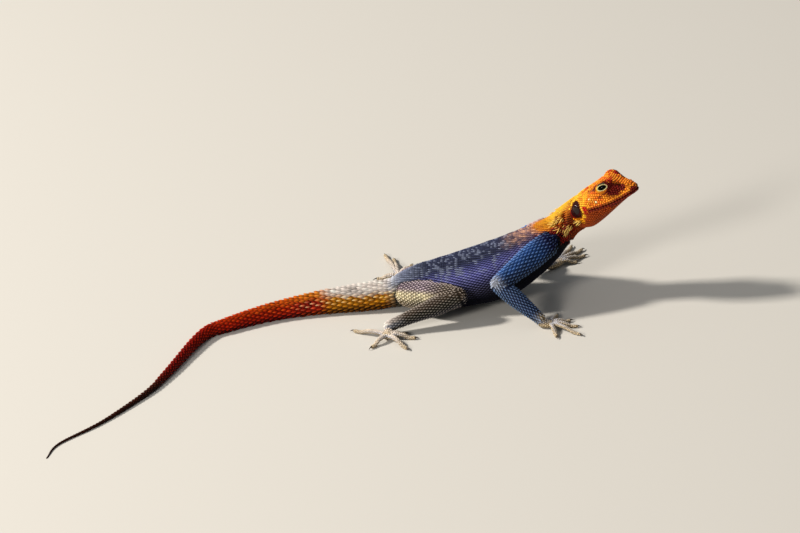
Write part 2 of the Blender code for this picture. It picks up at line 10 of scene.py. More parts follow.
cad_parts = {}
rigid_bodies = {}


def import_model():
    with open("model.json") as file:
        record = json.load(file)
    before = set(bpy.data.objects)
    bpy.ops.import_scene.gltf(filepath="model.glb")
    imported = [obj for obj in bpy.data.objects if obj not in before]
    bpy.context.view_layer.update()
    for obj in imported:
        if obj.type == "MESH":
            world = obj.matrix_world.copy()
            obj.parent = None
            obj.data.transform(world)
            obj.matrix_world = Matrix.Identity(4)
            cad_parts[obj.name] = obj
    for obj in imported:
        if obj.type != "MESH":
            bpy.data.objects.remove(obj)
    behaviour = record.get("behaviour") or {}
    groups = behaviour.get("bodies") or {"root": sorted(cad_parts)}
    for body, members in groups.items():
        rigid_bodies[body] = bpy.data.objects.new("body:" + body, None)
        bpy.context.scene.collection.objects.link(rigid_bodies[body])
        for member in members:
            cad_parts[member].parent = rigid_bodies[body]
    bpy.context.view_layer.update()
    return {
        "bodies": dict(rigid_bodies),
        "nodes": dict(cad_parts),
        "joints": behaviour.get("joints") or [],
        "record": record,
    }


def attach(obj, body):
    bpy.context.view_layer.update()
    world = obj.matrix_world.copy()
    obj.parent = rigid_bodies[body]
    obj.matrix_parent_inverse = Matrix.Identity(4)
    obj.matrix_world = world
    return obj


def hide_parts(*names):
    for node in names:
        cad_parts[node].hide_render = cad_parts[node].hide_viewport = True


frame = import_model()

print("frame loaded:", len(frame["nodes"]), "solids")

# Everything below is worked out in millimetres, in the pose's own frame, and turned to metres at the end
mm = 0.001
poseOrigin = np.array([-25.15, -27.25, 0.0])
restGap = 0.15  # how far the rounded underside of the tail is pressed flat on the floor
skyward = np.array([0.0, 0.0, 1.0])

spine = {
    # tail: x, y, half width, half height, from the tip to the hips
    "tail": [
        (-162.3, -112.8, 0.25, 0.25),
        (-157.1, -100.8, 0.48, 0.48),
        (-138.3, -85.0, 0.72, 0.72),
        (-118.7, -62.4, 1.15, 1.2),
        (-109.7, -46.8, 1.65, 1.75),
        (-93.1, -12.8, 2.4, 2.55),
        (-81.4, -5.0, 2.9, 3.1),
        (-60.0, 2.1, 3.7, 3.9),
        (-38.0, 3.8, 4.9, 5.0),
        (-18.0, 2.6, 6.0, 6.0),
    ],
    # trunk: x, y, z, half width, rise, drop, from the hips to the shoulders
    "trunk": [
        (-5.0, 1.2, 7.2, 6.5, 5.8, 6.1),
        (2.0, 0.4, 8.6, 9.0, 7.6, 7.9),
        (10.0, -0.6, 10.0, 12.2, 9.1, 9.6),
        (18.6, -1.6, 11.0, 14.6, 9.8, 11.15),
        (30.0, -3.2, 12.8, 16.4, 10.9, 11.8),
        (45.0, -5.5, 16.8, 16.4, 11.7, 13.4),
        (57.0, -7.4, 22.3, 14.0, 10.9, 12.0),
        (67.0, -9.0, 28.4, 11.2, 9.3, 9.8),
        (75.5, -9.9, 34.9, 8.8, 7.0, 7.2),
        (80.0, -10.3, 39.4, 8.4, 6.6, 7.3),
    ],
}

headShape = {
    "snout": (111.4, -23.8, 57.2),
    "pitch": 24.5,
    "yaw": -26.0,
    "length": 32.8,
    "blendBack": 28.0,
    "neckLift": 0.8,
    "neckSize": (8.6, 5.2, 9.6),
    # back, crown, brow half width and height, side half width and height, lip, jaw, jaw edge, depth, throat
    "stations": [
        (0.5, 2.3, 1.2, 2.0, 2.0, 1.2, 2.2, 2.0, 1.1, 1.2, 1.4),
        (2.2, 4.2, 2.3, 3.8, 3.3, 2.3, 3.9, 3.6, 2.3, 1.5, 1.7),
        (5.2, 5.8, 3.5, 5.6, 4.1, 3.6, 5.5, 5.2, 3.6, 1.9, 2.2),
        (8.0, 8.0, 5.2, 8.4, 5.3, 5.5, 6.9, 6.5, 4.8, 2.5, 3.0),
        (10.8, 9.6, 6.7, 9.7, 6.6, 6.8, 8.2, 7.8, 5.8, 3.3, 3.9),
        (15.3, 9.8, 6.8, 9.2, 8.1, 5.8, 9.8, 9.4, 7.0, 4.6, 5.4),
        (19.5, 9.2, 6.2, 8.2, 9.8, 4.7, 10.8, 10.4, 7.7, 5.8, 6.8),
        (23.4, 8.5, 6.0, 7.4, 10.4, 4.0, 11.2, 10.7, 7.9, 6.9, 8.0),
        (27.6, 7.6, 5.7, 6.4, 10.0, 3.2, 10.4, 9.9, 7.4, 7.6, 9.0),
        (32.8, 6.1, 5.2, 5.0, 8.8, 1.8, 9.0, 8.6, 6.4, 7.4, 9.4),
    ],
    # places are back, out and up, and sizes are half sizes
    "eye": (12.3, 5.6, 7.1),
    "eyeRadius": 2.9,
    "socketGap": 0.08,
    "lidThickness": 0.55,
    "lidStretch": 1.12,
    "lidOpening": (2.75, 1.55),
    "ear": (28.8, 10.5, 2.2),
    "earSize": (2.8, 1.9, 3.6),
    "nostril": (2.4, 3.3, 3.3),
    "nostrilSize": (0.62, 0.5, 0.5),
    "mouthBack": 21.4,
    "mouthRise": 0.8,
    "mouthDip": 0.9,
    "mouthGap": 0.34,
    "mouthDepth": 0.8,
}

legs = {
    "front_right": {
        "joints": [(68.5, -17.5, 31.2), (44.5, -28.0, 19.0), (61.5, -38.5, 4.2)],
        "upper": [5.2, 5.2, 4.4, 3.5],
        "lower": [3.5, 3.8, 3.2, 2.3],
        "palm": (65.7, -39.2, 1.7),
        "digits": [(70.4, -27.2), (77.0, -35.6), (79.8, -43.8), (79.8, -53.4), (68.0, -53.4)],
        "digitRadius": 0.95,
    },
    "front_left": {
        "joints": [(69.5, -1.5, 31.2), (50.5, 16.0, 16.0), (69.5, 20.6, 4.2)],
        "upper": [5.2, 5.2, 4.4, 3.5],
        "lower": [3.5, 3.8, 3.2, 2.3],
        "palm": (74.4, 24.4, 1.7),
        "digits": [(85.4, 25.0), (89.4, 31.8), (88.2, 39.4), (83.0, 44.6), (71.6, 37.0)],
        "digitRadius": 0.95,
    },
    "hind_right": {
        "joints": [(3.5, -6.0, 9.2), (25.6, -24.2, 13.0), (-6.8, -28.2, 4.5)],
        "upper": [6.0, 6.2, 5.3, 4.1],
        "lower": [3.9, 3.9, 2.9, 2.35],
        "palm": (-8.2, -32.6, 1.9),
        "digits": [(2.6, -30.2), (6.4, -36.8), (1.2, -48.0), (-17.4, -42.4), (-25.0, -20.4)],
        "digitRadius": 1.05,
    },
    "hind_left": {
        "joints": [(4.5, 6.5, 9.2), (32.5, 17.6, 8.0), (0.8, 22.6, 4.5)],
        "upper": [6.0, 6.2, 5.3, 4.1],
        "lower": [3.9, 3.9, 2.9, 2.35],
        "palm": (-0.2, 28.8, 1.9),
        "digits": [(9.0, 34.0), (7.6, 43.6), (-1.6, 52.6), (-5.8, 58.4), (-12.4, 31.4)],
        "digitRadius": 1.05,
    },
}


def unit(vectors):
    vectors = np.asarray(vectors, float)
    return vectors / np.maximum(np.linalg.norm(vectors, axis=-1, keepdims=True), 1e-12)


def repeated(vector, count):
    return np.tile(vector, (count, 1))


def lengthsAlong(path):  # distance from the start at each place of a path
    return np.concatenate([[0], np.cumsum(np.linalg.norm(np.diff(path, axis=0), axis=1))])


def smoothStep(low, high, values):  # 0 at low, 1 at high; low may be the larger
    t = np.clip((np.asarray(values, float) - low) / (high - low), 0, 1)
    return t * t * (3 - 2 * t)


def splineAt(rows, shares):  # Catmull-Rom through rows of numbers; share 2.5 is half way from row 2 to row 3
    table = np.array(rows, float)
    last = len(table) - 1
    shares = np.clip(np.asarray(shares, float), 0, last)
    index = np.minimum(shares.astype(int), last - 1)
    t = (shares - index)[..., None]
    start, end = table[index], table[index + 1]
    before, after = table[np.maximum(index - 1, 0)], table[np.minimum(index + 2, last)]
    slopeIn = np.where((index > 0)[..., None], (end - before) / 2, end - start)
    slopeOut = np.where((index < last - 1)[..., None], (after - start) / 2, end - start)
    result = (2 * t**3 - 3 * t**2 + 1) * start + (3 * t**2 - 2 * t**3) * end
    return result + (t**3 - 2 * t**2 + t) * slopeIn + (t**3 - t**2) * slopeOut


# The head's own axes: forward runs along the mouth line
pitch, yaw = math.radians(headShape["pitch"]), math.radians(headShape["yaw"])
forward = np.array([math.cos(pitch) * math.cos(yaw), math.cos(pitch) * math.sin(yaw), math.sin(pitch)])
left = unit(np.cross(skyward, forward))
headUp = np.cross(forward, left)
snout = np.array(headShape["snout"])


def headPoint(back, out, up):
    back, out, up = (np.asarray(value, float)[..., None] for value in (back, out, up))
    return snout - forward * back + left * out + headUp * up


def headCoords(points):  # back from the snout, out to the left, up from the mouth line
    offset = points - snout
    return -offset @ forward, offset @ left, offset @ headUp


def pairPoint(feature, sign):  # middle of an eye, ear or nostril; sign is 1 on the left and -1 on the right
    back, out, up = headShape[feature]
    return headPoint(back, out * sign, up)


earLean = unit(headUp * 0.85 + forward * 0.5)  # the long way of the ear
earAxes = (np.cross(earLean, left), left, earLean)

spineRows = [(x, y, high - restGap, wide, high, high) for x, y, wide, high in spine["tail"]]
spineRows += spine["trunk"]
spineRows.append((*headPoint(headShape["length"], 0, headShape["neckLift"]), *headShape["neckSize"]))
spineEnd = len(spineRows) - 1.0


def spineFrames(shares):
    shares = np.asarray(shares, float)
    here = splineAt(spineRows, shares)
    step = 0.05
    ahead = splineAt(spineRows, np.minimum(shares + step, spineEnd))[..., :3]
    behind = splineAt(spineRows, np.maximum(shares - step, 0))[..., :3]
    tangent = unit(ahead - behind)
    turn = smoothStep(spineEnd - 2, spineEnd, shares)[..., None]  # the neck turns to the head's own axis
    tangent = unit(tangent + (forward - tangent) * turn)
    side = unit(np.cross(skyward, tangent))
    return here[..., :3], tangent, side, unit(np.cross(tangent, side)), here[..., 3:]


def rounded(values, power):
    return np.sign(values) * np.abs(values) ** (2 / power)


def ovalRings(centre, side, up, sizes, count, power=2.2):
    angles = 2 * math.pi * np.arange(count) / count
    across = sizes[:, :1] * rounded(np.cos(angles), power)
    tall = rounded(np.sin(angles), power)
    height = np.where(tall > 0, sizes[:, 1:2], sizes[:, 2:3]) * tall
    return centre[:, None] + side[:, None] * across[..., None] + up[:, None] * height[..., None]


def linked(name, data):
    made = bpy.data.objects.new(name, data)
    bpy.context.scene.collection.objects.link(made)
    return made


def meshObject(name, points, faces):
    mesh = bpy.data.meshes.new(name)
    mesh.from_pydata([tuple(point) for point in points], [], faces)
    return linked(name, mesh)


def loftObject(name, rings):  # closed tube through rings of equal count
    rings = np.asarray(rings)
    rows, count = rings.shape[:2]
    index = np.arange(rows * count).reshape(rows, count)
    after = np.roll(index, -1, axis=1)
    quads = np.stack([index[:-1], after[:-1], after[1:], index[1:]], -1).reshape(-1, 4).tolist()
    caps = [index[0, ::-1].tolist(), index[-1].tolist()]
    return outward(meshObject(name, rings.reshape(-1, 3), quads + caps))


def outward(target):  # turns a closed shell the right way out
    mesh = target.data
    points = np.array([vertex.co for vertex in mesh.vertices])
    mesh.calc_loop_triangles()
    corners = np.array([triangle.vertices for triangle in mesh.loop_triangles])
    a, b, c = (points[corners[:, k]] for k in range(3))
    if (np.cross(b - a, c - a) * a).sum() < 0:
        mesh.flip_normals()
    return target


def ballObject(name, centre, radii, axes, segments=28, rows=18):
    polar = math.pi * np.arange(1, rows) / rows
    angle = 2 * math.pi * np.arange(segments) / segments
    local = np.stack(
        [
            np.outer(np.sin(polar), np.cos(angle)),
            np.outer(np.sin(polar), np.sin(angle)),
            np.outer(np.cos(polar), np.ones(segments)),
        ],
        -1,
    )
    rings = np.asarray(centre) + (local * np.asarray(radii)) @ np.asarray(axes)
    return loftObject(name, rings)


def applied(target):  # replaces the mesh by what its modifiers make of it
    graph = bpy.context.evaluated_depsgraph_get()
    mesh = bpy.data.meshes.new_from_object(target.evaluated_get(graph))
    target.modifiers.clear()
    target.data = mesh
    return target


def joined(name, pieces):
    with bpy.context.temp_override(active_object=pieces[0], selected_editable_objects=pieces):
        bpy.ops.object.join()
    pieces[0].name = name
    return pieces[0]


def remeshed(pieces, voxel):  # one closed surface round all pieces
    base = joined(pieces[0].name, pieces)
    voxels = base.modifiers.new("voxels", "REMESH")
    voxels.mode = "VOXEL"
    voxels.voxel_size = voxel
    return applied(base)


def combined(base, others, operation):
    group = bpy.data.collections.new(base.name + "Parts")
    bpy.context.scene.collection.children.link(group)
    for other in others:
        bpy.context.scene.collection.objects.unlink(other)
        group.objects.link(other)
    step = base.modifiers.new("combine", "BOOLEAN")
    step.operation = operation
    step.operand_type = "COLLECTION"
    step.collection = group
    step.solver = "MANIFOLD"
    applied(base)
    for other in others:
        bpy.data.objects.remove(other)
    bpy.data.collections.remove(group)
    return base


def meshPoints(mesh):
    points = np.empty(len(mesh.vertices) * 3, np.float32)
    mesh.vertices.foreach_get("co", points)
    return points.reshape(-1, 3).astype(float)


def setPoints(mesh, points):
    mesh.vertices.foreach_set("co", points.astype(np.float32).ravel())
    mesh.update()


def relaxed(target, rounds, strength=0.5, mask=None):  # Laplacian smoothing with little loss of volume
    mesh = target.data
    points = meshPoints(mesh)
    edges = np.empty(len(mesh.edges) * 2, np.int32)
    mesh.edges.foreach_get("vertices", edges)
    a, b = edges.reshape(-1, 2).T
    degree = np.bincount(edges, minlength=len(points))[:, None]
    count = len(points)
    weight = np.ones(count) if mask is None else mask
    for turn in range(2 * rounds):
        total = np.empty_like(points)
        for k in range(3):
            total[:, k] = np.bincount(a, points[b, k], count) + np.bincount(b, points[a, k], count)
        pull = strength if turn % 2 == 0 else -strength * 1.04
        points += (total / degree - points) * weight[:, None] * pull
    setPoints(mesh, points)
    return target


# Skin: the body under the scales. It lies inside the solids by about the height of the scales
skinShape = {
    "bodyVoxel": 0.62,
    "headVoxel": 0.3,
    "bodyDepth": 0.35,
    "headDepth": 0.3,
    "limbDepth": 0.3,
    "digitDepth": 0.12,
    "tailStart": 3.4,  # behind this place the tail is thinner than the voxels can follow
    "lowest": 0.03,  # height over the floor that nothing of the skin or the claws goes below
}


def mouthLift(back):  # height of the mouth line above the head's axis
    share = np.clip(np.asarray(back, float) / headShape["mouthBack"], 0, 1)
    return headShape["mouthRise"] * share - headShape["mouthDip"] * np.sin(math.pi * share)


def headSection(back):  # out and up of the corners of the head's outline, from the top round to the left
    rows = headShape["stations"]
    backs = [row[0] for row in rows]
    share = np.interp(back, backs, np.arange(len(rows)))
    _, crown, brow, browUp, side, sideUp, lip, jaw, edge, depth, throat = splineAt(rows, share)
    lift = float(mouthLift(back))
    half = [
        (0.0, crown),
        (brow * 0.55, crown * 0.25 + browUp * 0.75),
        (brow, browUp),
        (side, sideUp),
        (lip, 0.9 + lift),
        (lip * 0.99, lift),
        (jaw, -0.9 + lift),
        (edge * 0.55 + jaw * 0.45, -depth * 0.7),
        (edge * 0.8, -depth - 0.1),
        (edge * 0.35, -throat),
    ]
    right = [(-out, up) for out, up in reversed(half[1:])]
    return half + [(0.0, -throat - 0.15)] + right


def evenOutline(points, count):  # smooth closed outline through the points, cut in equal lengths
    total = len(points)
    closed = [points[(k - 1) % total] for k in range(total + 3)]
    fine = splineAt(closed, 1 + np.arange(total * 12) / 12)
    loop = np.vstack([fine, fine[:1]])
    lengths = lengthsAlong(loop)
    goals = lengths[-1] * np.arange(count) / count
    return np.column_stack([np.interp(goals, lengths, loop[:, k]) for k in (0, 1)])


def napeOutline(count):  # end of the neck as a section of the head, from the top round to the left
    centre, _, side, up, sizes = spineFrames([spineEnd])
    ring = ovalRings(centre, side, up, sizes, 4 * count)[0]
    _, out, high = headCoords(ring)
    flat = np.column_stack([out, high])
    start = int(np.argmax(high))
    turned = np.roll(flat, -start, axis=0)[::-1]
    turned = np.roll(turned, 1, axis=0)
    if turned[count][0] < 0:
        turned = np.vstack([turned[:1], turned[:0:-1]])
    return evenOutline([tuple(row) for row in turned[::4]], count)


def headOutlineAt(back, rear, count):
    outline = evenOutline(headSection(back), count)
    weight = smoothStep(headShape["blendBack"], headShape["length"], back)
    return outline + (rear - outline) * weight


def buildHeadSkin():
    count = 96
    rear = napeOutline(count)
    first = headShape["stations"][0][0]
    shares = np.linspace(0, 1, 70)
    backs = first + (headShape["length"] - first) * (0.45 * shares**2 + 0.55 * shares)
    rings = []
    for back in backs:
        outline = headOutlineAt(back, rear, count)
        middle = outline.mean(0)
        reach = np.linalg.norm(outline - middle, axis=1, keepdims=True)
        outline = middle + (outline - middle) * (1 - skinShape["headDepth"] / np.maximum(reach, 1.0))
        rings.append(headPoint(np.full(count, back), outline[:, 0], outline[:, 1]))
    foremost, rear = rings[0], rings[-1]
    for shrink, ahead in ((0.8, 0.3), (0.4, 0.5)):  # rounds the snout
        rings.insert(0, foremost.mean(0) + (foremost - foremost.mean(0)) * shrink + forward * ahead)
    rings.append(rear.mean(0) + (rear - rear.mean(0)) * 0.85 - forward * 2.5)  # reaches into the neck
    base = loftObject("headSkin", rings)
    lids = []
    for sign in (-1, 1):
        radius = headShape["eyeRadius"] + headShape["lidThickness"]
        size = (radius * headShape["lidStretch"], radius, radius)
        lids.append(ballObject("lid", pairPoint("eye", sign), size, eyeAxes(sign)))
    return pressedMouth(relaxed(remeshed([base, *lids], skinShape["headVoxel"]), 3))


def headCutters():
    cutters = []
    for sign in (-1, 1):
        axes = eyeAxes(sign)
        centre = pairPoint("eye", sign)
        radius = headShape["eyeRadius"] + headShape["socketGap"]
        cutters.append(ballObject("socket", centre, (radius, radius, radius), axes, 48, 32))
        cutters.append(lidOpening(centre, axes))
        cutters.append(ballObject("ear", pairPoint("ear", sign), headShape["earSize"], earAxes))
        pit, size = pairPoint("nostril", sign), headShape["nostrilSize"]
        cutters.append(ballObject("nostril", pit, size, (forward, left, headUp), 14, 10))
    return cutters


def eyeAxes(sign):  # forward, up and outward of an eye
    away = unit(left * sign * 0.93 + forward * 0.25 + headUp * 0.27)
    ahead = unit(forward - away * (forward @ away))
    return ahead, np.cross(away, ahead) * sign, away


# half length and height of the opening between the lids, 0.6 and 0.42 less than in the solids
openingLength, openingHeight = np.array(headShape["lidOpening"]) - (0.6, 0.42)


def lidOpening(centre, axes):
    ahead, up, away = axes
    angles = 2 * math.pi * np.arange(56) / 56
    tall = rounded(np.sin(angles), 1.6)
    outline = np.outer(np.cos(angles) * openingLength, ahead) + np.outer(tall * openingHeight, up)
    return loftObject("opening", [centre + away * depth + outline for depth in (0.8, 6.5)])


def pressedMouth(target):  # the mouth line as a groove with soft edges
    points = meshPoints(target.data)
    back, out, up = headCoords(points)
    high = up - mouthLift(back)
    near = np.exp(-((high / headShape["mouthGap"]) ** 2)) * (high > -3)
    near *= 1 - smoothStep(0.85, 1.02, back / headShape["mouthBack"])
    inward = -np.sign(out) * np.minimum(np.abs(out), 3) / 3
    ahead = smoothStep(4.0, 0.0, back) * smoothStep(3.2, 0.6, np.abs(out))
    move = left * inward[:, None] - forward * ahead[:, None]
    points += unit(move) * (near * headShape["mouthDepth"])[:, None]
    setPoints(target.data, points)
    return target


def limbFrames(start, end):
    start, end = np.array(start, float), np.array(end, float)
    along = unit(end - start)
    side = unit(np.cross(along, skyward))
    return start, end, along, side, np.cross(side, along)


def radiusAt(radii, shares):
    return splineAt([(radius,) for radius in radii], shares * (len(radii) - 1))


limbOval = np.array([[1.0, 1.05, 1.05]])  # limbs are a little taller than wide


def limbRings(start, end, radii, depth, count=28, steps=20):  # with round ends
    start, end, along, side, up = limbFrames(start, end)
    turns = np.radians([80, 60, 40, 20])
    first, last = radii[0] - depth, radii[-1] - depth
    shares = np.linspace(0, 1, steps)
    places = np.concatenate([
        start - np.outer(np.sin(turns) * first, along),
        start + np.outer(shares * np.linalg.norm(end - start), along),
        end + np.outer(np.sin(turns[::-1]) * last, along),
    ])
    middle = radiusAt(radii, shares)[:, 0] - depth
    sizes = np.concatenate([np.cos(turns) * first, middle, np.cos(turns[::-1]) * last])
    total = len(places)
    return ovalRings(places, repeated(side, total), repeated(up, total), sizes[:, None] * limbOval, count, 2)


def digitLine(leg, tip):  # middle line and radii of a toe, and where its claw starts
    palm, radius = np.array(leg["palm"]), leg["digitRadius"]
    spread = unit(np.array([tip[0], tip[1], palm[2]]) - palm)
    root = palm + spread * (radius * 0.9)
    ahead = np.array([tip[0] - root[0], tip[1] - root[1], 0.0])
    length = np.linalg.norm(ahead)
    ahead = ahead / length
    clawLength = 2.6
    low = radius - restGap
    places = [  # share of the length, height and girth
        (0.0, root[2], 1.15),
        (0.25, root[2] + 0.7, 1.0),
        (0.55, root[2] + 0.3, 0.92),
        (0.8, low, 0.82),
        (1.0, low, 0.72),
    ]
    rows = splineAt(places, np.linspace(0, len(places) - 1, 22))
    line = root + np.outer(rows[:, 0] * (length - clawLength), ahead)
    line[:, 2] = np.maximum(rows[:, 1], radius * rows[:, 2] - restGap)
    return line, rows[:, 2] * radius, ahead, root + ahead * (length - clawLength - 0.7)


palmShape = {"middle": 0.62, "reach": 0.6, "past": 1.4, "width": 2.7, "depth": 0.15, "ankle": 0.4}


def palmLine(leg):  # from the heel, under the wrist, to the palm
    palm, wrist = np.array(leg["palm"]), leg["joints"][2]
    return np.array([wrist[0], wrist[1], palm[2]]), palm


def legPieces(leg):
    shoulder, elbow, wrist = leg["joints"]
    heel, palm = palmLine(leg)
    ahead = unit(palm - heel)
    middle = heel + (palm - heel) * palmShape["middle"]
    long = np.linalg.norm(palm - heel) * palmShape["reach"] + palmShape["past"] - palmShape["depth"]
    wide = leg["digitRadius"] * palmShape["width"] - palmShape["depth"]
    ankle = heel + (palm - heel) * palmShape["ankle"]
    return [
        loftObject("upper", limbRings(shoulder, elbow, leg["upper"], skinShape["limbDepth"])),
        loftObject("lower", limbRings(elbow, wrist, leg["lower"], skinShape["limbDepth"])),
        ballObject("palm", middle, (long, wide, palm[2]), (ahead, np.cross(skyward, ahead), skyward)),
        loftObject("ankle", limbRings(wrist, ankle, [leg["lower"][-1]] * 2, 0.25, 20, 6)),
    ]


def digitPiece(leg, tip):
    line, radii, ahead, _ = digitLine(leg, tip)
    radii = radii - skinShape["digitDepth"]
    line = np.vstack([line, line[-1] + ahead * 0.35, line[-1] + ahead * 0.55])  # with a round end
    radii = np.append(radii, [radii[-1] * 0.75, radii[-1] * 0.35])
    frame = [repeated(vector, len(line)) for vector in (np.cross(skyward, ahead), skyward)]
    return loftObject("digit", ovalRings(line, *frame, np.repeat(radii[:, None], 3, 1), 14, 2))


def spineRings(first, last, rows, thinnest, around):  # the skin's depth gets less where the body is thin
    centre, _, side, up, sizes = spineFrames(np.linspace(first, last, rows))
    depth = skinShape["bodyDepth"] * np.clip(sizes / 5, thinnest, 1)
    return ovalRings(centre, side, up, sizes - depth, around)


def buildSkin():
    rings = spineRings(3.0, spineEnd, 240, 0.45, 72)
    nape = rings[-1].mean(0)
    rings = np.concatenate([rings, (nape + (rings[-1] - nape) * 0.8 + forward * 3)[None]])
    pieces = [loftObject("skin", rings)]
    for leg in legs.values():
        pieces += legPieces(leg)
    digits = [digitPiece(leg, tip) for leg in legs.values() for tip in leg["digits"]]
    body = remeshed(pieces, skinShape["bodyVoxel"])
    relaxed(body, 8)
    tail = loftObject("tail", spineRings(0.0, skinShape["tailStart"], 90, 0.2, 24))
    combined(body, [tail, buildHeadSkin(), *digits], "UNION")
    back, _, _ = headCoords(meshPoints(body.data))
    nape = smoothStep(26, 30, back) * smoothStep(41, 35, back) * (meshPoints(body.data)[:, 2] > 24)
    relaxed(body, 14, mask=nape)  # where head and neck meet
    relaxed(body, 2)
    combined(body, headCutters(), "DIFFERENCE")
    points = meshPoints(body.data)
    points[:, 2] = np.maximum(points[:, 2], skinShape["lowest"])
    setPoints(body.data, points)
    return body


skin = buildSkin()
print("skin:", len(skin.data.vertices), "points,", len(skin.data.polygons), "faces")


# Middle lines of the body, head, limbs and toes. Scales and colours are laid out along them
def makeAxis(region, centre, tangent, side, up, sizes, along, power, backwards=False, leg=None):
    return {
        "region": region,
        "leg": leg,
        "centre": centre,
        "tangent": tangent,
        "side": side,
        "up": up,
        "sizes": sizes,
        "along": along,
        "length": lengthsAlong(centre),
        "power": power,
        "lie": -1.0 if backwards else 1.0,
    }


def straightAxis(region, leg, start, end, radii, count=24):
    start, end, along, side, up = limbFrames(start, end)
    shares = np.linspace(0, 1, count)
    sizes = radiusAt(radii, shares) * limbOval
    centre = start + np.outer(shares, end - start)
    frames = [repeated(vector, count) for vector in (along, side, up)]
    return makeAxis(region, centre, *frames, sizes, shares, 2, leg=leg)


def makeAxes():
    axes = []
    shares = np.linspace(0, spineEnd, 500)
    centre, tangent, side, up, sizes = spineFrames(shares)
    axes.append(makeAxis("spine", centre, tangent, side, up, sizes, shares, 2.2, True))
    backs = np.linspace(headShape["length"], 0.7, 70)
    sections = [evenOutline(headSection(back), 64) for back in backs]
    middle = np.array([section[:, 1].max() + section[:, 1].min() for section in sections]) / 2
    wide = np.array([section[:, 0].max() for section in sections])
    tall = np.array([np.ptp(section[:, 1]) / 2 for section in sections])
    centre = headPoint(backs, 0 * backs, middle)
    frames = [repeated(vector, len(backs)) for vector in (forward, left, headUp)]
    axes.append(makeAxis("head", centre, *frames, np.stack([wide, tall, tall], -1), backs, 2.2, True))
    for name, leg in legs.items():
        shoulder, elbow, wrist = leg["joints"]
        arm = "front" in name
        upper, lower, end = ("upperArm", "forearm", "hand") if arm else ("thigh", "shank", "foot")
        axes.append(straightAxis(upper, name, shoulder, elbow, leg["upper"]))
        axes.append(straightAxis(lower, name, elbow, wrist, leg["lower"]))
        heel, palm = palmLine(leg)
        wide = leg["digitRadius"] * 2.0
        axes.append(straightAxis(end, name, heel, palm + (palm - heel) * 0.3, [wide, wide], 8))
        for tip in leg["digits"]:
            line, radii, ahead, _ = digitLine(leg, tip)
            total = len(line)
            frames = [repeated(vector, total) for vector in (ahead, np.cross(skyward, ahead), skyward)]
            sizes = np.repeat(radii[:, None], 3, 1)
            axes.append(makeAxis(end, line, *frames, sizes, np.linspace(0, 1, total), 2, leg=name))
    return axes


axes = makeAxes()
regionNames = ["spine", "head", "upperArm", "forearm", "hand", "thigh", "shank", "foot"]
creaseWidth = 0.1  # how far the painted shade in the fold between a limb and the body reaches, as a share of the radius


def inRegion(table, *names):
    return np.isin(table["region"], [regionNames.index(name) for name in names])


def locate(points):  # for each point its region, place along and round the nearest axis, and lie of scales
    centres = np.concatenate([axis["centre"] for axis in axes])
    radii = np.concatenate([axis["sizes"].mean(1) for axis in axes])
    owner = np.concatenate([np.full(len(axis["centre"]), k) for k, axis in enumerate(axes)])
    limbs = [None, *legs]
    limb = np.concatenate([np.full(len(axis["centre"]), limbs.index(axis["leg"])) for axis in axes])
    best = np.empty(len(points), int)
    crease = np.empty(len(points))
    for begin in range(0, len(points), 4000):
        part = points[begin : begin + 4000].astype(np.float32)
        offset = part[:, None] - centres[None].astype(np.float32)
        gap = np.sqrt((offset**2).sum(-1)) / radii.astype(np.float32)
        best[begin : begin + 4000] = gap.argmin(1)
        nearest = np.sort([gap[:, limb == k].min(1) for k in range(len(limbs))], axis=0)
        crease[begin : begin + 4000] = np.exp(-(((nearest[1] - nearest[0]) / creaseWidth) ** 2))
    stack = {key: np.concatenate([axis[key] for axis in axes]) for key in ("tangent", "side", "up", "along")}
    lie = np.concatenate([np.full(len(axis["centre"]), axis["lie"]) for axis in axes])
    offset = points - centres[best]
    high = (offset * stack["up"][best]).sum(1)
    across = (offset * stack["side"][best]).sum(1)
    region = np.array([regionNames.index(axis["region"]) for axis in axes])[owner[best]]
    return {
        "region": region,
        "along": stack["along"][best],
        "angle": np.arctan2(high, across),
        "lie": stack["tangent"][best] * lie[best][:, None],
        "owner": owner[best],
        "radius": radii[best],
        "crease": crease,
    }


skinPoints = meshPoints(skin.data)
skinFaces = [tuple(face.vertices) for face in skin.data.polygons]
skinPlace = locate(skinPoints)
print("skin laid out along", len(axes), "middle lines")


def readSkin():  # normals and search tree of the skin as it stands
    setPoints(skin.data, skinPoints)
    normals = np.empty(len(skinPoints) * 3, np.float32)
    skin.data.vertices.foreach_get("normal", normals)
    tree = BVHTree.FromPolygons([tuple(point) for point in skinPoints], skinFaces)
    return normals.reshape(-1, 3).astype(float), tree


def smoothNormal(face):
    return unit(skinNormals[list(skinFaces[face])].sum(0))


def surfaceFrom(origin, direction, reach=16.0):  # last place where a line from inside leaves the skin
    far = np.asarray(origin) + unit(direction) * reach
    hit, _, face, _ = skinTree.ray_cast(Vector(far), Vector(-unit(direction)), reach)
    if hit is None:
        return None
    return np.array(hit), smoothNormal(face)


def bodyPlace(share, degrees, sign):  # place on the skin by share of the spine and degrees above the side
    centre, tangent, side, up, sizes = (part[0] for part in spineFrames([share]))
    angle = math.radians(degrees if sign > 0 else 180 - degrees)
    tall = sizes[1] if degrees > 0 else sizes[2]
    direction = side * math.cos(angle) * sizes[0] + up * math.sin(angle) * tall
    return surfaceFrom(centre, direction), tangent, angle


skinNormals, skinTree = readSkin()

# Wrinkles of the flank, by share of the spine and turn round it
wrinkle = {"height": 0.2, "alongRate": 3.2, "turnRate": 0.8, "from": 11.0, "to": 17.0}

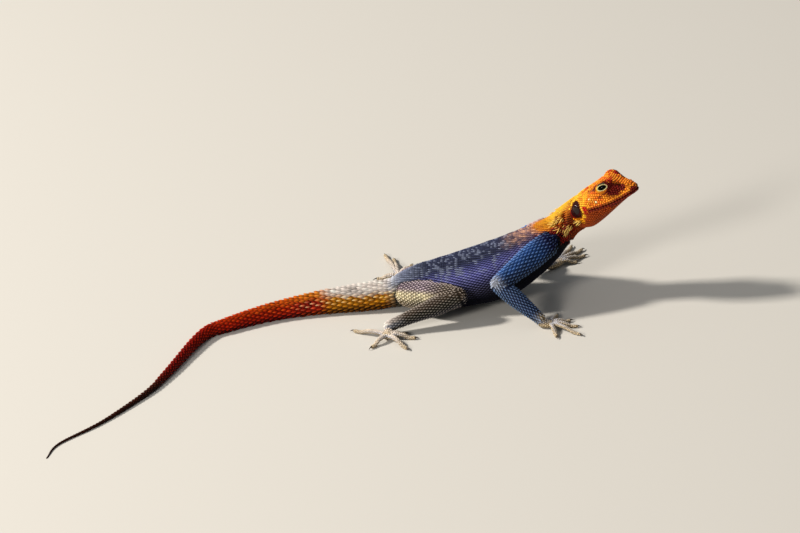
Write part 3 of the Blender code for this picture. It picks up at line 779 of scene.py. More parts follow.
# Folds of loose skin on the neck, throat and shoulder
folds = [
    # depth and half width, then share of the spine and degrees above the side of the places along it
    (1.0, 0.75, [(19.45, 37), (19.25, 24), (19.05, 12), (18.68, 12), (18.36, 13), (18.15, 4), (18.15, -8)]),
    (1.0, 0.75, [(19.3, -32), (18.8, -17), (18.4, -15), (18.1, -27), (18.0, -52), (18.0, -90)]),
    (0.8, 0.8, [(17.2, 47), (17.5, 38), (17.85, 31), (18.05, 17), (18.1, -2), (17.9, -26)]),
    (0.5, 0.6, [(18.7, 52), (18.5, 38), (18.35, 28)]),
]
foldLines = []  # the same as places on the skin, for the colours
foldSwell = {"height": 0.3, "away": 2.1}  # the skin swells beside a fold, this many widths from its middle
neckHeight = 26  # the folds are above this height over the floor


def foldedSkin():
    near = inRegion(skinPlace, "spine", "head") & (skinPoints[:, 2] > neckHeight)
    points = skinPoints[near]
    moved = skinPoints.copy()
    shift = np.zeros(len(points))
    for depth, width, path in folds:
        for sign in (-1, 1):
            line = []
            for share, degrees in splineAt(path, np.linspace(0, len(path) - 1, 10 * len(path))):
                found = bodyPlace(float(share), float(degrees), sign)[0]
                if found is not None:
                    line.append(found[0])
            foldLines.append(line)
            gap = pathGap(points, line)
            groove = np.exp(-((gap / width) ** 2))
            swell = np.exp(-(((gap - foldSwell["away"] * width) / width) ** 2))
            shift = np.where(groove > 0.02, np.minimum(shift, 0), shift) - depth * groove
            shift = np.where(shift > -0.05, np.maximum(shift, foldSwell["height"] * swell), shift)
    moved[near] += skinNormals[near] * shift[:, None]
    trunk = np.flatnonzero(inRegion(skinPlace, "spine") & (skinPlace["along"] > wrinkle["from"] - 1))
    along, turn = skinPlace["along"][trunk], skinPlace["angle"][trunk]
    fade = smoothStep(wrinkle["from"] - 1, wrinkle["from"], along)
    fade *= smoothStep(wrinkle["to"] + 1, wrinkle["to"], along)
    rates = zip(along * wrinkle["alongRate"], turn * wrinkle["turnRate"])
    wave = [noise.noise(Vector((a, t, 4.0))) for a, t in rates]
    moved[trunk] += skinNormals[trunk] * (np.array(wave) * fade * wrinkle["height"])[:, None]
    moved[:, 2] = np.maximum(moved[:, 2], skinShape["lowest"])
    return moved


def segmentGap(points, start, end):
    start, step = np.asarray(start, float), np.asarray(end, float) - start
    share = np.clip((points - start) @ step / max(float(step @ step), 1e-9), 0, 1)
    return np.linalg.norm(points - start - share[:, None] * step, axis=1)


def pathGap(points, path):
    return np.min([segmentGap(points, start, end) for start, end in zip(path, path[1:])], axis=0)


skinPoints = foldedSkin()
skinNormals, skinTree = readSkin()
print("folds pressed into the skin")


# Shapes of one scale. x runs from root to tip, y across, z out of the skin
# Its lift says how far a corner is towards the tip, for the colours
def closedShape(points, lift, triangles, rim, sunk):
    points = list(points) + [sunk]
    bottom = len(points) - 1
    under = [(rim[(k + 1) % len(rim)], rim[k], bottom) for k in range(len(rim))]
    return {
        "points": np.array(points, float),
        "lift": np.array(list(lift) + [0.0]),
        "triangles": np.array(list(triangles) + under),
    }


def leafShape(rows, columns, keel, tipRise, point=1.0):
    shares = np.linspace(0, 1, rows + 1)[:-1]
    across = np.linspace(-1, 1, columns)
    points, lift, triangles = [], [], []
    for t in shares:
        if t < 0.42:
            wide = 0.62 + 0.38 * math.sin(t / 0.42 * math.pi / 2)
        else:
            wide = 1 - ((t - 0.42) / 0.58) ** (1.5 + 0.6 * point)
        for s in across:
            ridge = keel * (1 - abs(s)) ** 1.3 * (0.45 + 0.55 * t)
            z = -0.35 + tipRise * t**0.8 + ridge - 0.12 * abs(s)
            points.append((t - 0.5 - 0.05 * abs(s) * t, s * wide, z))
            lift.append(t**0.8 * (0.3 + 0.7 * (1 - abs(s))))
    points.append((0.5, 0.0, tipRise - 0.35 + keel * 0.55))
    lift.append(1.0)
    tip = rows * columns
    for r in range(rows - 1):
        for c in range(columns - 1):
            a = r * columns + c
            triangles += [(a, a + columns, a + 1), (a + 1, a + columns, a + columns + 1)]
    last = (rows - 1) * columns
    triangles += [(last + c, tip, last + c + 1) for c in range(columns - 1)]
    rim = [r * columns for r in range(rows)] + [tip]
    rim += [r * columns + columns - 1 for r in reversed(range(rows))]
    rim += [c for c in reversed(range(1, columns - 1))]
    return closedShape(points, lift, triangles, rim[::-1], (-0.1, 0.0, -1.0))


def domeShape(sides, squareness=2.0):
    points, lift, triangles = [], [], []
    for radius, height in ((1.0, -0.1), (0.66, 0.72)):
        for k in range(sides):
            angle = 2 * math.pi * (k + 0.5) / sides
            x = math.copysign(abs(math.cos(angle)) ** (2 / squareness), math.cos(angle)) * radius / 2
            y = math.copysign(abs(math.sin(angle)) ** (2 / squareness), math.sin(angle)) * radius
            points.append((x, y, height))
            lift.append(0.25 if radius == 1.0 else 0.75)
    points.append((0.0, 0.0, 1.0))
    lift.append(1.0)
    top = 2 * sides
    for k in range(sides):
        after = (k + 1) % sides
        triangles += [(k, after, k + sides), (after, after + sides, k + sides)]
        triangles.append((k + sides, after + sides, top))
    return closedShape(points, lift, triangles, list(range(sides)), (0.0, 0.0, -0.9))


def spineShape(sides=6):
    points, lift, triangles = [], [], []
    for x, radius, z in ((0.0, 1.0, -0.1), (0.22, 0.8, 0.35), (0.6, 0.45, 0.8)):
        for k in range(sides):
            angle = 2 * math.pi * k / sides
            points.append((x - 0.5 + 0.3 * radius * math.cos(angle), radius * math.sin(angle), z))
            lift.append(x + 0.1)
    points.append((0.75, 0.0, 1.0))
    lift.append(1.0)
    tip = 3 * sides
    for r in range(2):
        for k in range(sides):
            a, b = r * sides + k, r * sides + (k + 1) % sides
            triangles += [(a, b, a + sides), (b, b + sides, a + sides)]
    triangles += [(2 * sides + k, 2 * sides + (k + 1) % sides, tip) for k in range(sides)]
    return closedShape(points, lift, triangles, list(range(sides)), (-0.4, 0.0, -0.8))


shapes = {
    "tailLeaf": leafShape(4, 5, 0.95, 0.95, -0.3),
    "leaf": leafShape(4, 3, 0.8, 0.9, 0.0),
    "smallLeaf": leafShape(3, 3, 0.55, 0.8, 0.6),
    "plate": domeShape(8, 2.6),
    "block": domeShape(8, 4.5),
    "granule": domeShape(6),
    "spine": spineShape(),
}
shapeNames = list(shapes)


# How the scales of each part are laid: width in mm, and the rows' spacing, length and height as shares of it
coat = {
    "trunk": {"shape": "leaf", "row": 0.88, "long": 1.5, "high": 0.42},
    "neck": {"shape": "tailLeaf", "row": 0.85, "long": 1.5, "high": 0.46},
    "tail": {"shape": "tailLeaf", "row": 1.15, "long": 1.75, "high": 0.42},
    "head": {"shape": "plate", "wide": 1.12, "row": 0.88, "long": 1.06, "high": 0.3},
    "upperArm": {"shape": "tailLeaf", "wide": 1.7, "row": 0.95, "long": 1.55, "high": 0.4},
    "forearm": {"shape": "tailLeaf", "wide": 1.4, "row": 0.98, "long": 1.5, "high": 0.42},
    "hand": {"shape": "granule", "wide": 0.85, "row": 0.95, "long": 1.15, "high": 0.3},
    "thigh": {"shape": "tailLeaf", "wide": 1.5, "row": 0.92, "long": 1.5, "high": 0.42},
    "shank": {"shape": "tailLeaf", "wide": 1.35, "row": 0.98, "long": 1.5, "high": 0.44},
    "foot": {"shape": "granule", "wide": 0.9, "row": 0.95, "long": 1.15, "high": 0.3},
}
trunkStart, neckStart = 10.6, 17.6  # shares of the spine
# share of the spine and width of a scale there
tailWidths = [(0.0, 0.4), (1.0, 0.55), (2.0, 0.8), (3.0, 1.0), (4.5, 1.3), (6.0, 1.6), (8.0, 2.2), (9.6, 2.2)]
tailWidths.append((trunkStart, 1.5))
trunkWidths = [(trunkStart, 1.4), (11.4, 1.36), (13.0, 1.34), (16.5, 1.3), (neckStart, 1.15), (20.0, 1.0)]

draw = random.Random(20)
scaleValues = "place normal lie wide long high bend shape region along angle owner chance"
scales = {key: [] for key in scaleValues.split()}
cellSize = 2.0
taken = {}  # places and half widths of the scales laid so far, by cells of cellSize mm


def cellOf(place):
    return tuple(int(math.floor(value / cellSize)) for value in place)


def isFree(place, radius, closeness):
    cell = cellOf(place)
    for dx in (-1, 0, 1):
        for dy in (-1, 0, 1):
            for dz in (-1, 0, 1):
                for x, y, z, other in taken.get((cell[0] + dx, cell[1] + dy, cell[2] + dz), ()):
                    reach = (radius + other) * closeness
                    if (x - place[0]) ** 2 + (y - place[1]) ** 2 + (z - place[2]) ** 2 < reach * reach:
                        return False
    return True


def addScale(place, normal, lie, size, shape, where, bend=0.0, closeness=0.62):
    # size is width, length and height; where is region, place along, height round and axis
    if not isFree(place, size[0] / 2, closeness):
        return
    taken.setdefault(cellOf(place), []).append((*place, size[0] / 2))
    normal = unit(normal)
    lie = unit(np.asarray(lie) - normal * (np.asarray(lie) @ normal))
    values = (place, normal, lie, *size, bend, shapeNames.index(shape), *where, draw.random())
    for key, value in zip(scales, values):
        scales[key].append(value)


def skinHit(origin, direction, nearest, furthest):  # where a line from inside leaves the skin
    hit, _, face, distance = skinTree.ray_cast(Vector(origin), Vector(direction), furthest)
    if hit is None or distance < nearest:
        return None
    return np.array(hit), smoothNormal(face), face


def sectionAt(axis, at):  # an axis at a length along it, and its outline there, from the top to the left
    index = np.interp(at, axis["length"], np.arange(len(axis["length"])))
    low = min(int(index), len(axis["centre"]) - 2)
    t = index - low
    keys = ("centre", "tangent", "side", "up", "sizes", "along")
    section = {key: axis[key][low] * (1 - t) + axis[key][low + 1] * t for key in keys}
    centre, sizes = section["centre"], section["sizes"]
    if axis["region"] == "head":
        outline = headOutlineAt(float(section["along"]), napeSection, napeCount)
        flat = outline - [0, float((centre - snout) @ headUp)]
        return section, centre + np.outer(flat[:, 0], left) + np.outer(flat[:, 1], headUp)
    angles = math.pi / 2 - 2 * math.pi * np.arange(96) / 96
    across = sizes[0] * rounded(np.cos(angles), axis["power"])
    tall = rounded(np.sin(angles), axis["power"])
    height = np.where(tall > 0, sizes[1], sizes[2]) * tall
    return section, centre + np.outer(across, section["side"]) + np.outer(height, section["up"])


napeCount = 96
napeSection = napeOutline(napeCount)


def widthAt(axis, along):
    if axis["region"] == "spine":
        table = tailWidths if along < trunkStart else trunkWidths
        return float(np.interp(along, *zip(*table)))
    return coat[axis["region"]]["wide"]


def styleAt(axis, along):
    if axis["region"] != "spine":
        return coat[axis["region"]]
    return coat["tail"] if along < 10.8 else coat["trunk"] if along < 17.8 else coat["neck"]


def scaleSize(style, wide):
    return wide, wide * style["long"], wide * style["high"]


laying = {
    "lastGap": 0.3,  # share of a scale's width left free along the middle of the underside
    "search": (0.6, 1.35, 0.8),  # nearest and furthest skin as shares of the section's radius, and mm beyond
    "drift": (0.16, 0.45),  # how far off the section the skin may be, as a share of its radius, and mm beyond
    "facing": 0.35,  # least share of the radius along the skin's normal
    "variation": 0.04,
}


def layRows(axis, owner, start):
    at, row = start, 0
    region = regionNames.index(axis["region"])
    near, far, beyond = laying["search"]
    while at < axis["length"][-1]:
        section, ring = sectionAt(axis, at)
        centre, along = section["centre"], float(section["along"])
        style, wide = styleAt(axis, along), widthAt(axis, along)
        middle = len(ring) // 2
        for first, half in enumerate((ring[: middle + 1], np.vstack([ring[:1], ring[: middle - 1 : -1]]))):
            lengths = lengthsAlong(half)
            # every other row is half a scale further round, and the scale on top is laid only once
            shift = 0.5 if row % 2 else 0.0
            count = int((lengths[-1] - (0.0 if row % 2 else 0.4 * wide)) / wide + 0.5)
            for k in range(0 if row % 2 else first, count + 1):
                arc = (k + shift) * wide
                if arc > lengths[-1] - laying["lastGap"] * wide:
                    break
                goal = np.array([np.interp(arc, lengths, half[:, part]) for part in range(3)])
                reach = goal - centre
                distance = float(np.linalg.norm(reach))
                found = skinHit(centre, reach / distance, distance * near, distance * far + beyond)
                if found is None:
                    continue
                place, normal, face = found
                off = abs(float(np.linalg.norm(place - centre)) - distance)
                if off > laying["drift"][0] * distance + laying["drift"][1]:
                    continue
                if normal @ reach < laying["facing"] * distance or forbidden(place, normal, axis["region"]):
                    continue
                if axes[skinPlace["owner"][skinFaces[face][0]]]["leg"] != axis["leg"]:
                    continue
                lie = section["tangent"] * axis["lie"]
                angle = math.atan2(float(reach @ section["up"]), float(reach @ section["side"]))
                size = wide * draw.uniform(1 - laying["variation"], 1 + laying["variation"])
                where = (region, along, angle, owner)
                bend = 1.0 / max(distance, 1.0)
                addScale(place, normal, lie, scaleSize(style, size), style["shape"], where, bend)
        at += widthAt(axis, along) * style["row"]
        row += 1


# Places without ordinary scales, in mm: the resting underside, then eyes, ears, nostrils and the mouth line
bare = {
    "restHeight": 0.35,
    "restNormal": -0.2,
    "headEnd": 36,
    "eye": 0.36,  # beyond its radius
    "ear": (0.4, 0.3),  # beyond its half width and half height
    "nostril": 0.75,
    "mouth": 0.4,
}


def aroundEar(points, sign, marginWide, marginTall):  # less than 1 inside the ear with these margins
    offset = points - pairPoint("ear", sign)
    wide, _, tall = headShape["earSize"]
    return (offset @ earAxes[0] / (wide + marginWide)) ** 2 + (offset @ earLean / (tall + marginTall)) ** 2


def forbidden(place, normal, region):
    if place[2] < bare["restHeight"] and normal[2] < bare["restNormal"]:
        return True
    if region not in ("head", "spine"):
        return False
    back, out, up = (float(value) for value in headCoords(place))
    if back > bare["headEnd"]:
        return False
    sign = 1 if out > 0 else -1
    if np.linalg.norm(place - pairPoint("eye", sign)) < headShape["eyeRadius"] + bare["eye"]:
        return True
    if aroundEar(place, sign, *bare["ear"]) < 1 and abs(out) > 5:
        return True
    if np.linalg.norm(place - pairPoint("nostril", sign)) < bare["nostril"]:
        return True
    return back < headShape["mouthBack"] + bare["mouth"] and abs(up - float(mouthLift(back))) < bare["mouth"]


# Colours, as sRGB, by place on the animal. Skin and scales take them from the same function
def toLinear(code):
    values = np.array([int(code[k : k + 2], 16) for k in (0, 2, 4)]) / 255
    return np.where(values <= 0.04045, values / 12.92, ((values + 0.055) / 1.055) ** 2.4)


tones = {
    "soot": "1c0c08",
    "umber": "4e2010",
    "rust": "703420",
    "wine": "78060a",
    "mist": "848ca6",
    "blood": "b41a06",
    "scarlet": "dc2c04",
    "flame": "f46c12",
    "ember": "ec4c0a",
    "orange": "fc9220",
    "saffron": "fab428",
    "amber": "f29c0c",
    "bark": "7a4406",
    "bone": "e8dcd4",
    "cream": "ded0a8",
    "sand": "c6b08a",
    "blush": "eeb48c",
    "ash": "b4b8c6",
    "slate": "3a3f5a",
    "violet": "6264b8",
    "indigo": "2c3270",
    "night": "0c0d1c",
    "cobalt": "3a68b4",
    "navy": "182a54",
    "steel": "3c4e78",
    "coal": "1e2030",
    "olive": "9a8662",
    "moss": "4c4838",
    "brick": "a03c06",
    "pale": "f8e4a8",
    "lemon": "f8dc78",
    "lilac": "a4a2dc",
    "sky": "8eb0e0",
    "plum": "a08c9c",
    "umberGrey": "6c5a48",
}
bodyTones = [
    # share of the spine, then the colour of back, side and underside; the dark underside colours are partly
    # the animal's own and partly painted shade
    (0.0, "umber", "umber", "soot"),
    (3.4, "rust", "umber", "soot"),
    (4.2, "blood", "blood", "wine"),
    (5.2, "scarlet", "scarlet", "wine"),
    (6.5, "ember", "scarlet", "wine"),
    (7.4, "flame", "scarlet", "wine"),
    (8.0, "orange", "scarlet", "brick"),
    (8.3, "bone", "amber", "bark"),
    (9.8, "bone", "amber", "bark"),
    (10.5, "ash", "sand", "moss"),
    (11.2, "mist", "slate", "coal"),
    (12.6, "slate", "violet", "night"),
    (16.6, "slate", "violet", "night"),
    (17.9, "indigo", "indigo", "night"),
    (18.25, "orange", "flame", "brick"),
    (19.2, "saffron", "orange", "brick"),
    (20.0, "saffron", "orange", "brick"),
]
# height round the body, and the share of the spine where the trunk's blue gives way to the neck's orange
collar = [(-1.0, 18.4), (-0.5, 18.3), (0.0, 18.12), (0.5, 17.9), (0.62, 17.55), (0.75, 17.35), (1.0, 17.1)]
limbTones = {
    # share along each length, then the colour above, on the side and below
    "upperArm": [
        (0.0, "indigo", "indigo", "night"),
        (0.2, "cobalt", "cobalt", "navy"),
        (0.88, "cobalt", "steel", "navy"),
        (1.0, "ash", "ash", "steel"),
    ],
    "forearm": [
        (0.0, "ash", "ash", "steel"),
        (0.16, "steel", "steel", "coal"),
        (0.85, "steel", "steel", "coal"),
        (1.0, "sand", "ash", "moss"),
    ],
    "hand": [(0.0, "ash", "sand", "moss"), (1.0, "sand", "sand", "olive")],
    "thigh": [
        (0.0, "plum", "cream", "olive"),
        (0.45, "plum", "cream", "moss"),
        (0.8, "umberGrey", "umberGrey", "moss"),
        (1.0, "umberGrey", "umberGrey", "coal"),
    ],
    "shank": [
        (0.0, "umberGrey", "moss", "coal"),
        (0.75, "umberGrey", "moss", "coal"),
        (1.0, "bone", "ash", "moss"),
    ],
    "foot": [(0.0, "bone", "ash", "olive"), (1.0, "sand", "sand", "olive")],
}
headTones = {"cheek": "orange", "nape": "saffron", "jaw": "brick", "throat": "brick"}
headTones.update({"lip": "wine", "ear": "wine"})
strokes = [
    # colour and half width, then back, out and up of the places on the head that it runs through
    ("brick", 1.3, [(24.2, 9.5, -1.0), (19.5, 9.2, -1.6), (14.0, 8.0, -2.4)]),
    ("amber", 1.6, [(31.0, 8.3, -1.5), (28.5, 8.6, -3.2)]),
    ("saffron", 1.2, [(26.2, 9.6, -1.6), (24.8, 10.7, 3.6)]),
    ("wine", 1.7, [(7.9, 5.8, 5.7), (5.0, 3.9, 3.5)]),
    ("wine", 1.5, [(9.9, 7.1, 3.8), (7.4, 5.7, 2.9)]),
    ("wine", 0.8, [(16.2, 7.0, 8.0), (14.6, 6.9, 9.0), (10.5, 6.6, 9.3), (8.6, 6.6, 8.4), (7.6, 5.4, 6.9)]),
    ("wine", 1.0, [(9.0, 7.3, 7.4), (9.2, 7.7, 5.4), (11.4, 8.8, 4.2), (14.6, 8.9, 4.4)]),
    ("blood", 1.0, [(9.2, 4.6, 9.2), (8.0, 4.2, 8.1)]),
    ("wine", 0.8, [(0.6, 1.2, 1.2), (1.4, 2.6, 1.2)]),
    ("blood", 0.9, [(23.3, 10.8, 2.4), (24.0, 10.5, -0.2)]),
    # the next two pale strokes on the cheek are painted highlight, a scatter of glints
    ("pale", 0.5, [(20.5, 9.0, 6.8), (19.6, 9.1, 5.5)]),
    ("pale", 0.45, [(18.4, 9.2, 3.9), (16.8, 9.2, 2.6)]),
    ("blood", 0.9, [(31.2, 8.2, 4.6), (32.4, 8.4, 1.6), (31.4, 8.6, -0.6)]),
]
# darker red of the neck folds, partly own colour and partly painted shade in the grooves
foldTone = "blood"
# the blush of the back goes over on the far arm
farShoulder = {"line": ((56.0, 4.0, 32.0), (77.0, 2.0, 40.0)), "reach": 7.5}


def mixed(low, high, share):
    return low + (high - low) * np.asarray(share)[..., None]


def tone(name):
    return toLinear(tones[name])


def ramped(rows, along, column):
    places = [row[0] for row in rows]
    colours = np.array([tone(row[column]) for row in rows])
    return np.stack([np.interp(along, places, colours[:, k]) for k in range(3)], -1)


def mottle(points, size, seed):
    shift = Vector((seed * 7.3, seed * 3.1, seed * 5.7))
    return np.array([noise.noise(Vector(point) / size + shift) for point in points])


def bodyPaint(place, chance):
    along, height = place["along"], np.sin(place["angle"])
    collarSide, border = (np.interp(level, *zip(*collar)) for level in (0.0, height))
    # shares of the spine, moved so that the collar is at one share
    bent = along + (collarSide - border) * smoothStep(15.0, 16.8, along)
    back, side, low = (ramped(bodyTones, bent, k) for k in (1, 2, 3))
    onTail = smoothStep(10.8, 10.2, along)
    # height where the white back of the tail ends
    edge = np.interp(along, [7.4, 8.2, 8.8, 9.6], [0.52, 0.6, 0.4, 0.28])
    share = onTail * smoothStep(edge, edge + 0.34, height + 0.2 * (chance - 0.5))
    share = share + (1 - onTail) * smoothStep(0.35, 0.85, height)
    colours = mixed(side, back, share)
    # the underside darkens: partly its own colour, partly painted shade
    under = onTail * smoothStep(0.0, -0.7, height) + (1 - onTail) * smoothStep(0.5, -0.1, height)
    colours = mixed(colours, low, under)
    # pale specks of the back in short bars, finer and fewer towards the shoulders
    rate = np.interp(along, [12.0, 13.5], [1.0, 2.0])
    spots = zip(along * rate * 4.6, place["angle"] * rate * 1.5)
    bars = np.array([noise.noise(Vector((a, t, 9.0))) for a, t in spots])
    sparse = np.interp(along, [11.5, 13.5, 16.5], [-0.02, 0.1, 0.2])
    speck = smoothStep(0.0, 0.1, bars + 0.5 * (chance - 0.5) - sparse) * smoothStep(0.1, 0.6, height)
    speck *= smoothStep(10.6, 11.4, along) * smoothStep(17.6, 16.0, bent)
    colours = mixed(colours, tone("mist"), speck * 0.8)
    # warm blush between the shoulders
    blush = smoothStep(15.6, 17.9, bent) * (bent < 18.2) * smoothStep(0.5, 0.95, height)
    return mixed(colours, tone("blush"), blush * (0.25 + 0.75 * chance**2))


def headPaint(points, chance, fine):
    back, out, up = headCoords(points)
    places = np.column_stack([back, np.abs(out), up])
    level = up - mouthLift(back)
    picked = {name: tone(value) for name, value in headTones.items()}
    colours = mixed(picked["cheek"], picked["nape"], smoothStep(17, 24, back) * smoothStep(1.0, 5.0, up))
    spot = smoothStep(0.58, 0.74, chance + 0.35 * fine) * smoothStep(30, 24, back)
    colours = mixed(colours, tone("blood"), spot * (0.6 + 0.3 * smoothStep(6.5, 8.5, up)))
    colours = mixed(colours, picked["jaw"], smoothStep(0.4, -1.6, level))
    colours = mixed(colours, picked["throat"], smoothStep(-3, -6, up))
    ahead = back < headShape["mouthBack"] + 1.0
    lip = smoothStep(0.9, 0.5, level) * smoothStep(-2.2, -1.6, level) * ahead
    colours = mixed(colours, picked["lip"], lip * 0.95)
    overLip = smoothStep(0.7, 1.0, level) * smoothStep(2.3, 2.0, level)  # pale strip over the upper lip
    overLip *= smoothStep(13.5, 12.5, back) * smoothStep(1.6, 2.6, back)
    for name, width, path in strokes:
        gap = pathGap(places, path) / width
        colours = mixed(colours, tone(name), smoothStep(1.2, 0.8, gap + 0.2 * fine))
    colours = mixed(colours, picked["cheek"], overLip * 0.9)
    # Darker oval round each ear: the rim's own dark red, darkened further as painted shade in the ear pit
    edge = aroundEar(points, np.where(out > 0, 1, -1), 0.5, 0.3)
    colours = mixed(colours, picked["ear"] * 0.45, smoothStep(1.1, 0.9, edge) * (np.abs(out) > 5))
    return lidPaint(colours, points, out)


# colour and reach past the edge of the opening between the lids
lidTones = {"rim": ("pale", 0.3), "rear": ("saffron", 1.3), "below": ("moss", 1.2)}


def lidPaint(colours, points, out):
    for sign in (-1, 1):
        ahead, up, away = eyeAxes(sign)
        offset = points - pairPoint("eye", sign)
        front = (offset @ away > 0.5) & (out * sign > 0)
        across, high = offset @ ahead, offset @ up
        spread = np.hypot(across / openingLength, high / openingHeight)
        beyond = np.hypot(across, high) * (1 - 1 / np.maximum(spread, 1e-6))
        name, reach = lidTones["below"]
        low = smoothStep(reach, reach - 0.3, beyond) * smoothStep(-0.8, -1.2, high) * (across < 1.9)
        colours = mixed(colours, tone(name), low * front)
        name, reach = lidTones["rear"]
        rear = smoothStep(reach, reach - 0.3, beyond) * smoothStep(-1.5, -2.0, across) * (high > -1.4)
        colours = mixed(colours, tone(name), rear * front)
        name, reach = lidTones["rim"]
        colours = mixed(colours, tone(name), smoothStep(reach + 0.15, reach - 0.1, beyond) * front)
    return colours


def paint(points, place, chance):
    along, height = place["along"], np.sin(place["angle"])
    colours = np.empty((len(points), 3))
    coarse = mottle(points, 5.0, 1)
    fine = mottle(points, 1.6, 2)
    chosen = inRegion(place, "spine")
    colours[chosen] = bodyPaint({key: place[key][chosen] for key in ("along", "angle")}, chance[chosen])
    for name, rows in limbTones.items():
        chosen = inRegion(place, name)
        above, side, below = (ramped(rows, along[chosen], k) for k in (1, 2, 3))
        level = height[chosen]
        upper = mixed(side, above, smoothStep(0.35, 0.8, level))
        colours[chosen] = mixed(upper, below, smoothStep(0.1, -0.6, level))
    chosen = inRegion(place, "upperArm") & (along < 0.3)
    gap = segmentGap(points[chosen], *farShoulder["line"]) / farShoulder["reach"]
    colours[chosen] = mixed(colours[chosen], tone("blush") * 0.8, smoothStep(1.1, 0.8, gap))
    chosen = inRegion(place, "head")
    colours[chosen] = headPaint(points[chosen], chance[chosen], fine[chosen])
    # Neck folds painted darker red: the folds' own red, with painted shade in their grooves
    fold = np.zeros(len(points))
    neck = np.flatnonzero(inRegion(place, "spine", "head") & (points[:, 2] > neckHeight))
    for line in foldLines:
        gap = pathGap(points[neck], line)
        fold[neck] = np.maximum(fold[neck], smoothStep(1.5, 0.7, gap + 0.5 * fine[neck]))
    colours = mixed(colours, tone(foldTone) * 0.8, fold * 0.9)
    # each scale differs a little at random, and the folds between limbs and body are darkened as painted
    # shade
    shade = 1 + 0.2 * coarse + 0.12 * fine + 0.4 * (chance - 0.5)
    shade *= 1 - 0.7 * place["crease"]
    return np.clip(colours * shade[:, None], 0.002, 0.9)


def paintedMesh(target, colours):
    layer = target.data.color_attributes.new("paint", "FLOAT_COLOR", "POINT")
    values = np.column_stack([colours, np.ones(len(colours))]).astype(np.float32)
    layer.data.foreach_set("color", values.ravel())


# Unwrap for the skin and the scales: each middle line has a block, its length across and the turn upwards
# A block is left, bottom, width and height
largeBlocks = {"spine": (0.01, 0.52, 0.98, 0.47), "head": (0.01, 0.02, 0.3, 0.48)}
smallBlocks = {"start": (0.33, 0.02), "step": (0.084, 0.122), "size": (0.078, 0.115), "columns": 8}


def blockPlaces():
    blocks, count = [], 0
    for axis in axes:
        if axis["region"] in largeBlocks:
            blocks.append(largeBlocks[axis["region"]])
            continue
        row, column = divmod(count, smallBlocks["columns"])
        corner = smallBlocks["start"] + np.multiply(smallBlocks["step"], (column, row))
        blocks.append((*corner, *smallBlocks["size"]))
        count += 1
    return np.array(blocks)


blocks = blockPlaces()


def unwrapped(along, angle, owner):
    lowest = np.array([axis["along"].min() for axis in axes])[owner]
    highest = np.array([axis["along"].max() for axis in axes])[owner]
    turn = (angle / (2 * math.pi) + 0.75) % 1.0
    share = np.column_stack([(along - lowest) / (highest - lowest), turn])
    return blocks[owner, :2] + blocks[owner, 2:] * share


# The head's own scales, laid first: lips, lids, brows, nostrils, ear rims and tufts
def headScale(found, lie, size, shape, closeness):
    nearest = locate(np.array([found[0]]))
    back = float(headCoords(found[0])[0])
    where = (regionNames.index("head"), back, float(nearest["angle"][0]), int(nearest["owner"][0]))
    addScale(*found, lie, size, shape, where, 0.1, closeness)


# The lips have two rows of scales each, at these heights over the mouth line. Round the snout they fan out
lips = {"rows": ((0.62, 1.42), (-0.62, -1.45)), "wide": 1.0, "long": 1.45, "high": 0.3, "fanBack": 3.4}


def layLips():
    for heights in lips["rows"]:
        for rowIndex, height in enumerate(heights):
            for sign in (-1, 1):
                backs = np.linspace(lips["fanBack"], headShape["mouthBack"] + 0.6, 120)
                side = left * sign
                turns = np.radians(np.linspace(4, 90, 60))
                rays = [(lips["fanBack"], forward * math.cos(turn) + side * math.sin(turn)) for turn in turns]
                rays += [(back, side) for back in backs[1:]]
                path = []
                for back, direction in rays:
                    origin = headPoint(back, 0.0, float(mouthLift(back)) + height)
                    found = surfaceFrom(origin, direction)
                    if found is not None:
                        path.append((*found[0], *found[1]))
                path = np.array(path)
                steps = lengthsAlong(path[:, :3])
                at = 0.7 + 0.35 * rowIndex
                while at < steps[-1]:
                    here, ahead = (
                        np.array([np.interp(length, steps, path[:, k]) for k in range(6)])
                        for length in (at, min(at + 0.3, steps[-1]))
                    )
                    wide = lips["wide"] * (1.0 - 0.1 * rowIndex)
                    long = lips["long"] * (1.0 - 0.25 * rowIndex) * draw.uniform(0.95, 1.05)
                    lie = ahead[:3] - here[:3]
                    headScale((here[:3], here[3:]), lie, (wide, long, lips["high"]), "block", 0.45)
                    at += long * 0.96


# Rings of granules round the opening between the lids: distances from its edge, and spacing of the granules
lidRings = [(0.16, 0.34), (0.48, 0.44), (0.88, 0.54), (1.34, 0.64)]


def layLids():
    radius = headShape["eyeRadius"] + headShape["lidThickness"]
    for sign in (-1, 1):
        ahead, up, away = eyeAxes(sign)
        centre = pairPoint("eye", sign)
        for ringIndex, (gap, pitch) in enumerate(lidRings):
            halfLong, halfTall = openingLength + gap, openingHeight + gap
            count = int(2 * math.pi * (halfLong + halfTall) / 2 / pitch)
            for k in range(count):
                turn = 2 * math.pi * (k + 0.5 * (ringIndex % 2)) / count
                across = ahead * math.cos(turn) * halfLong + up * math.sin(turn) * halfTall
                rise = radius**2 - min(float(across @ across), radius**2 * 0.93)
                found = surfaceFrom(centre, unit(across + away * math.sqrt(rise)), 7.0)
                if found is not None:
                    headScale(found, unit(across), (pitch, pitch * 1.05, 0.16), "granule", 0.5)


# Ridge of keeled scales over each eye: back, out and up of the places it runs through
browPath = [(5.0, 3.4, 5.5), (7.6, 5.0, 8.1), (10.6, 6.5, 9.7)]
browPath += [(14.0, 6.7, 9.5), (17.6, 6.3, 8.6), (20.5, 6.1, 7.9)]
browRows = ((0.0, 1.15), (1.0, 0.85))  # depth of each row below the ridge, and width of its scales


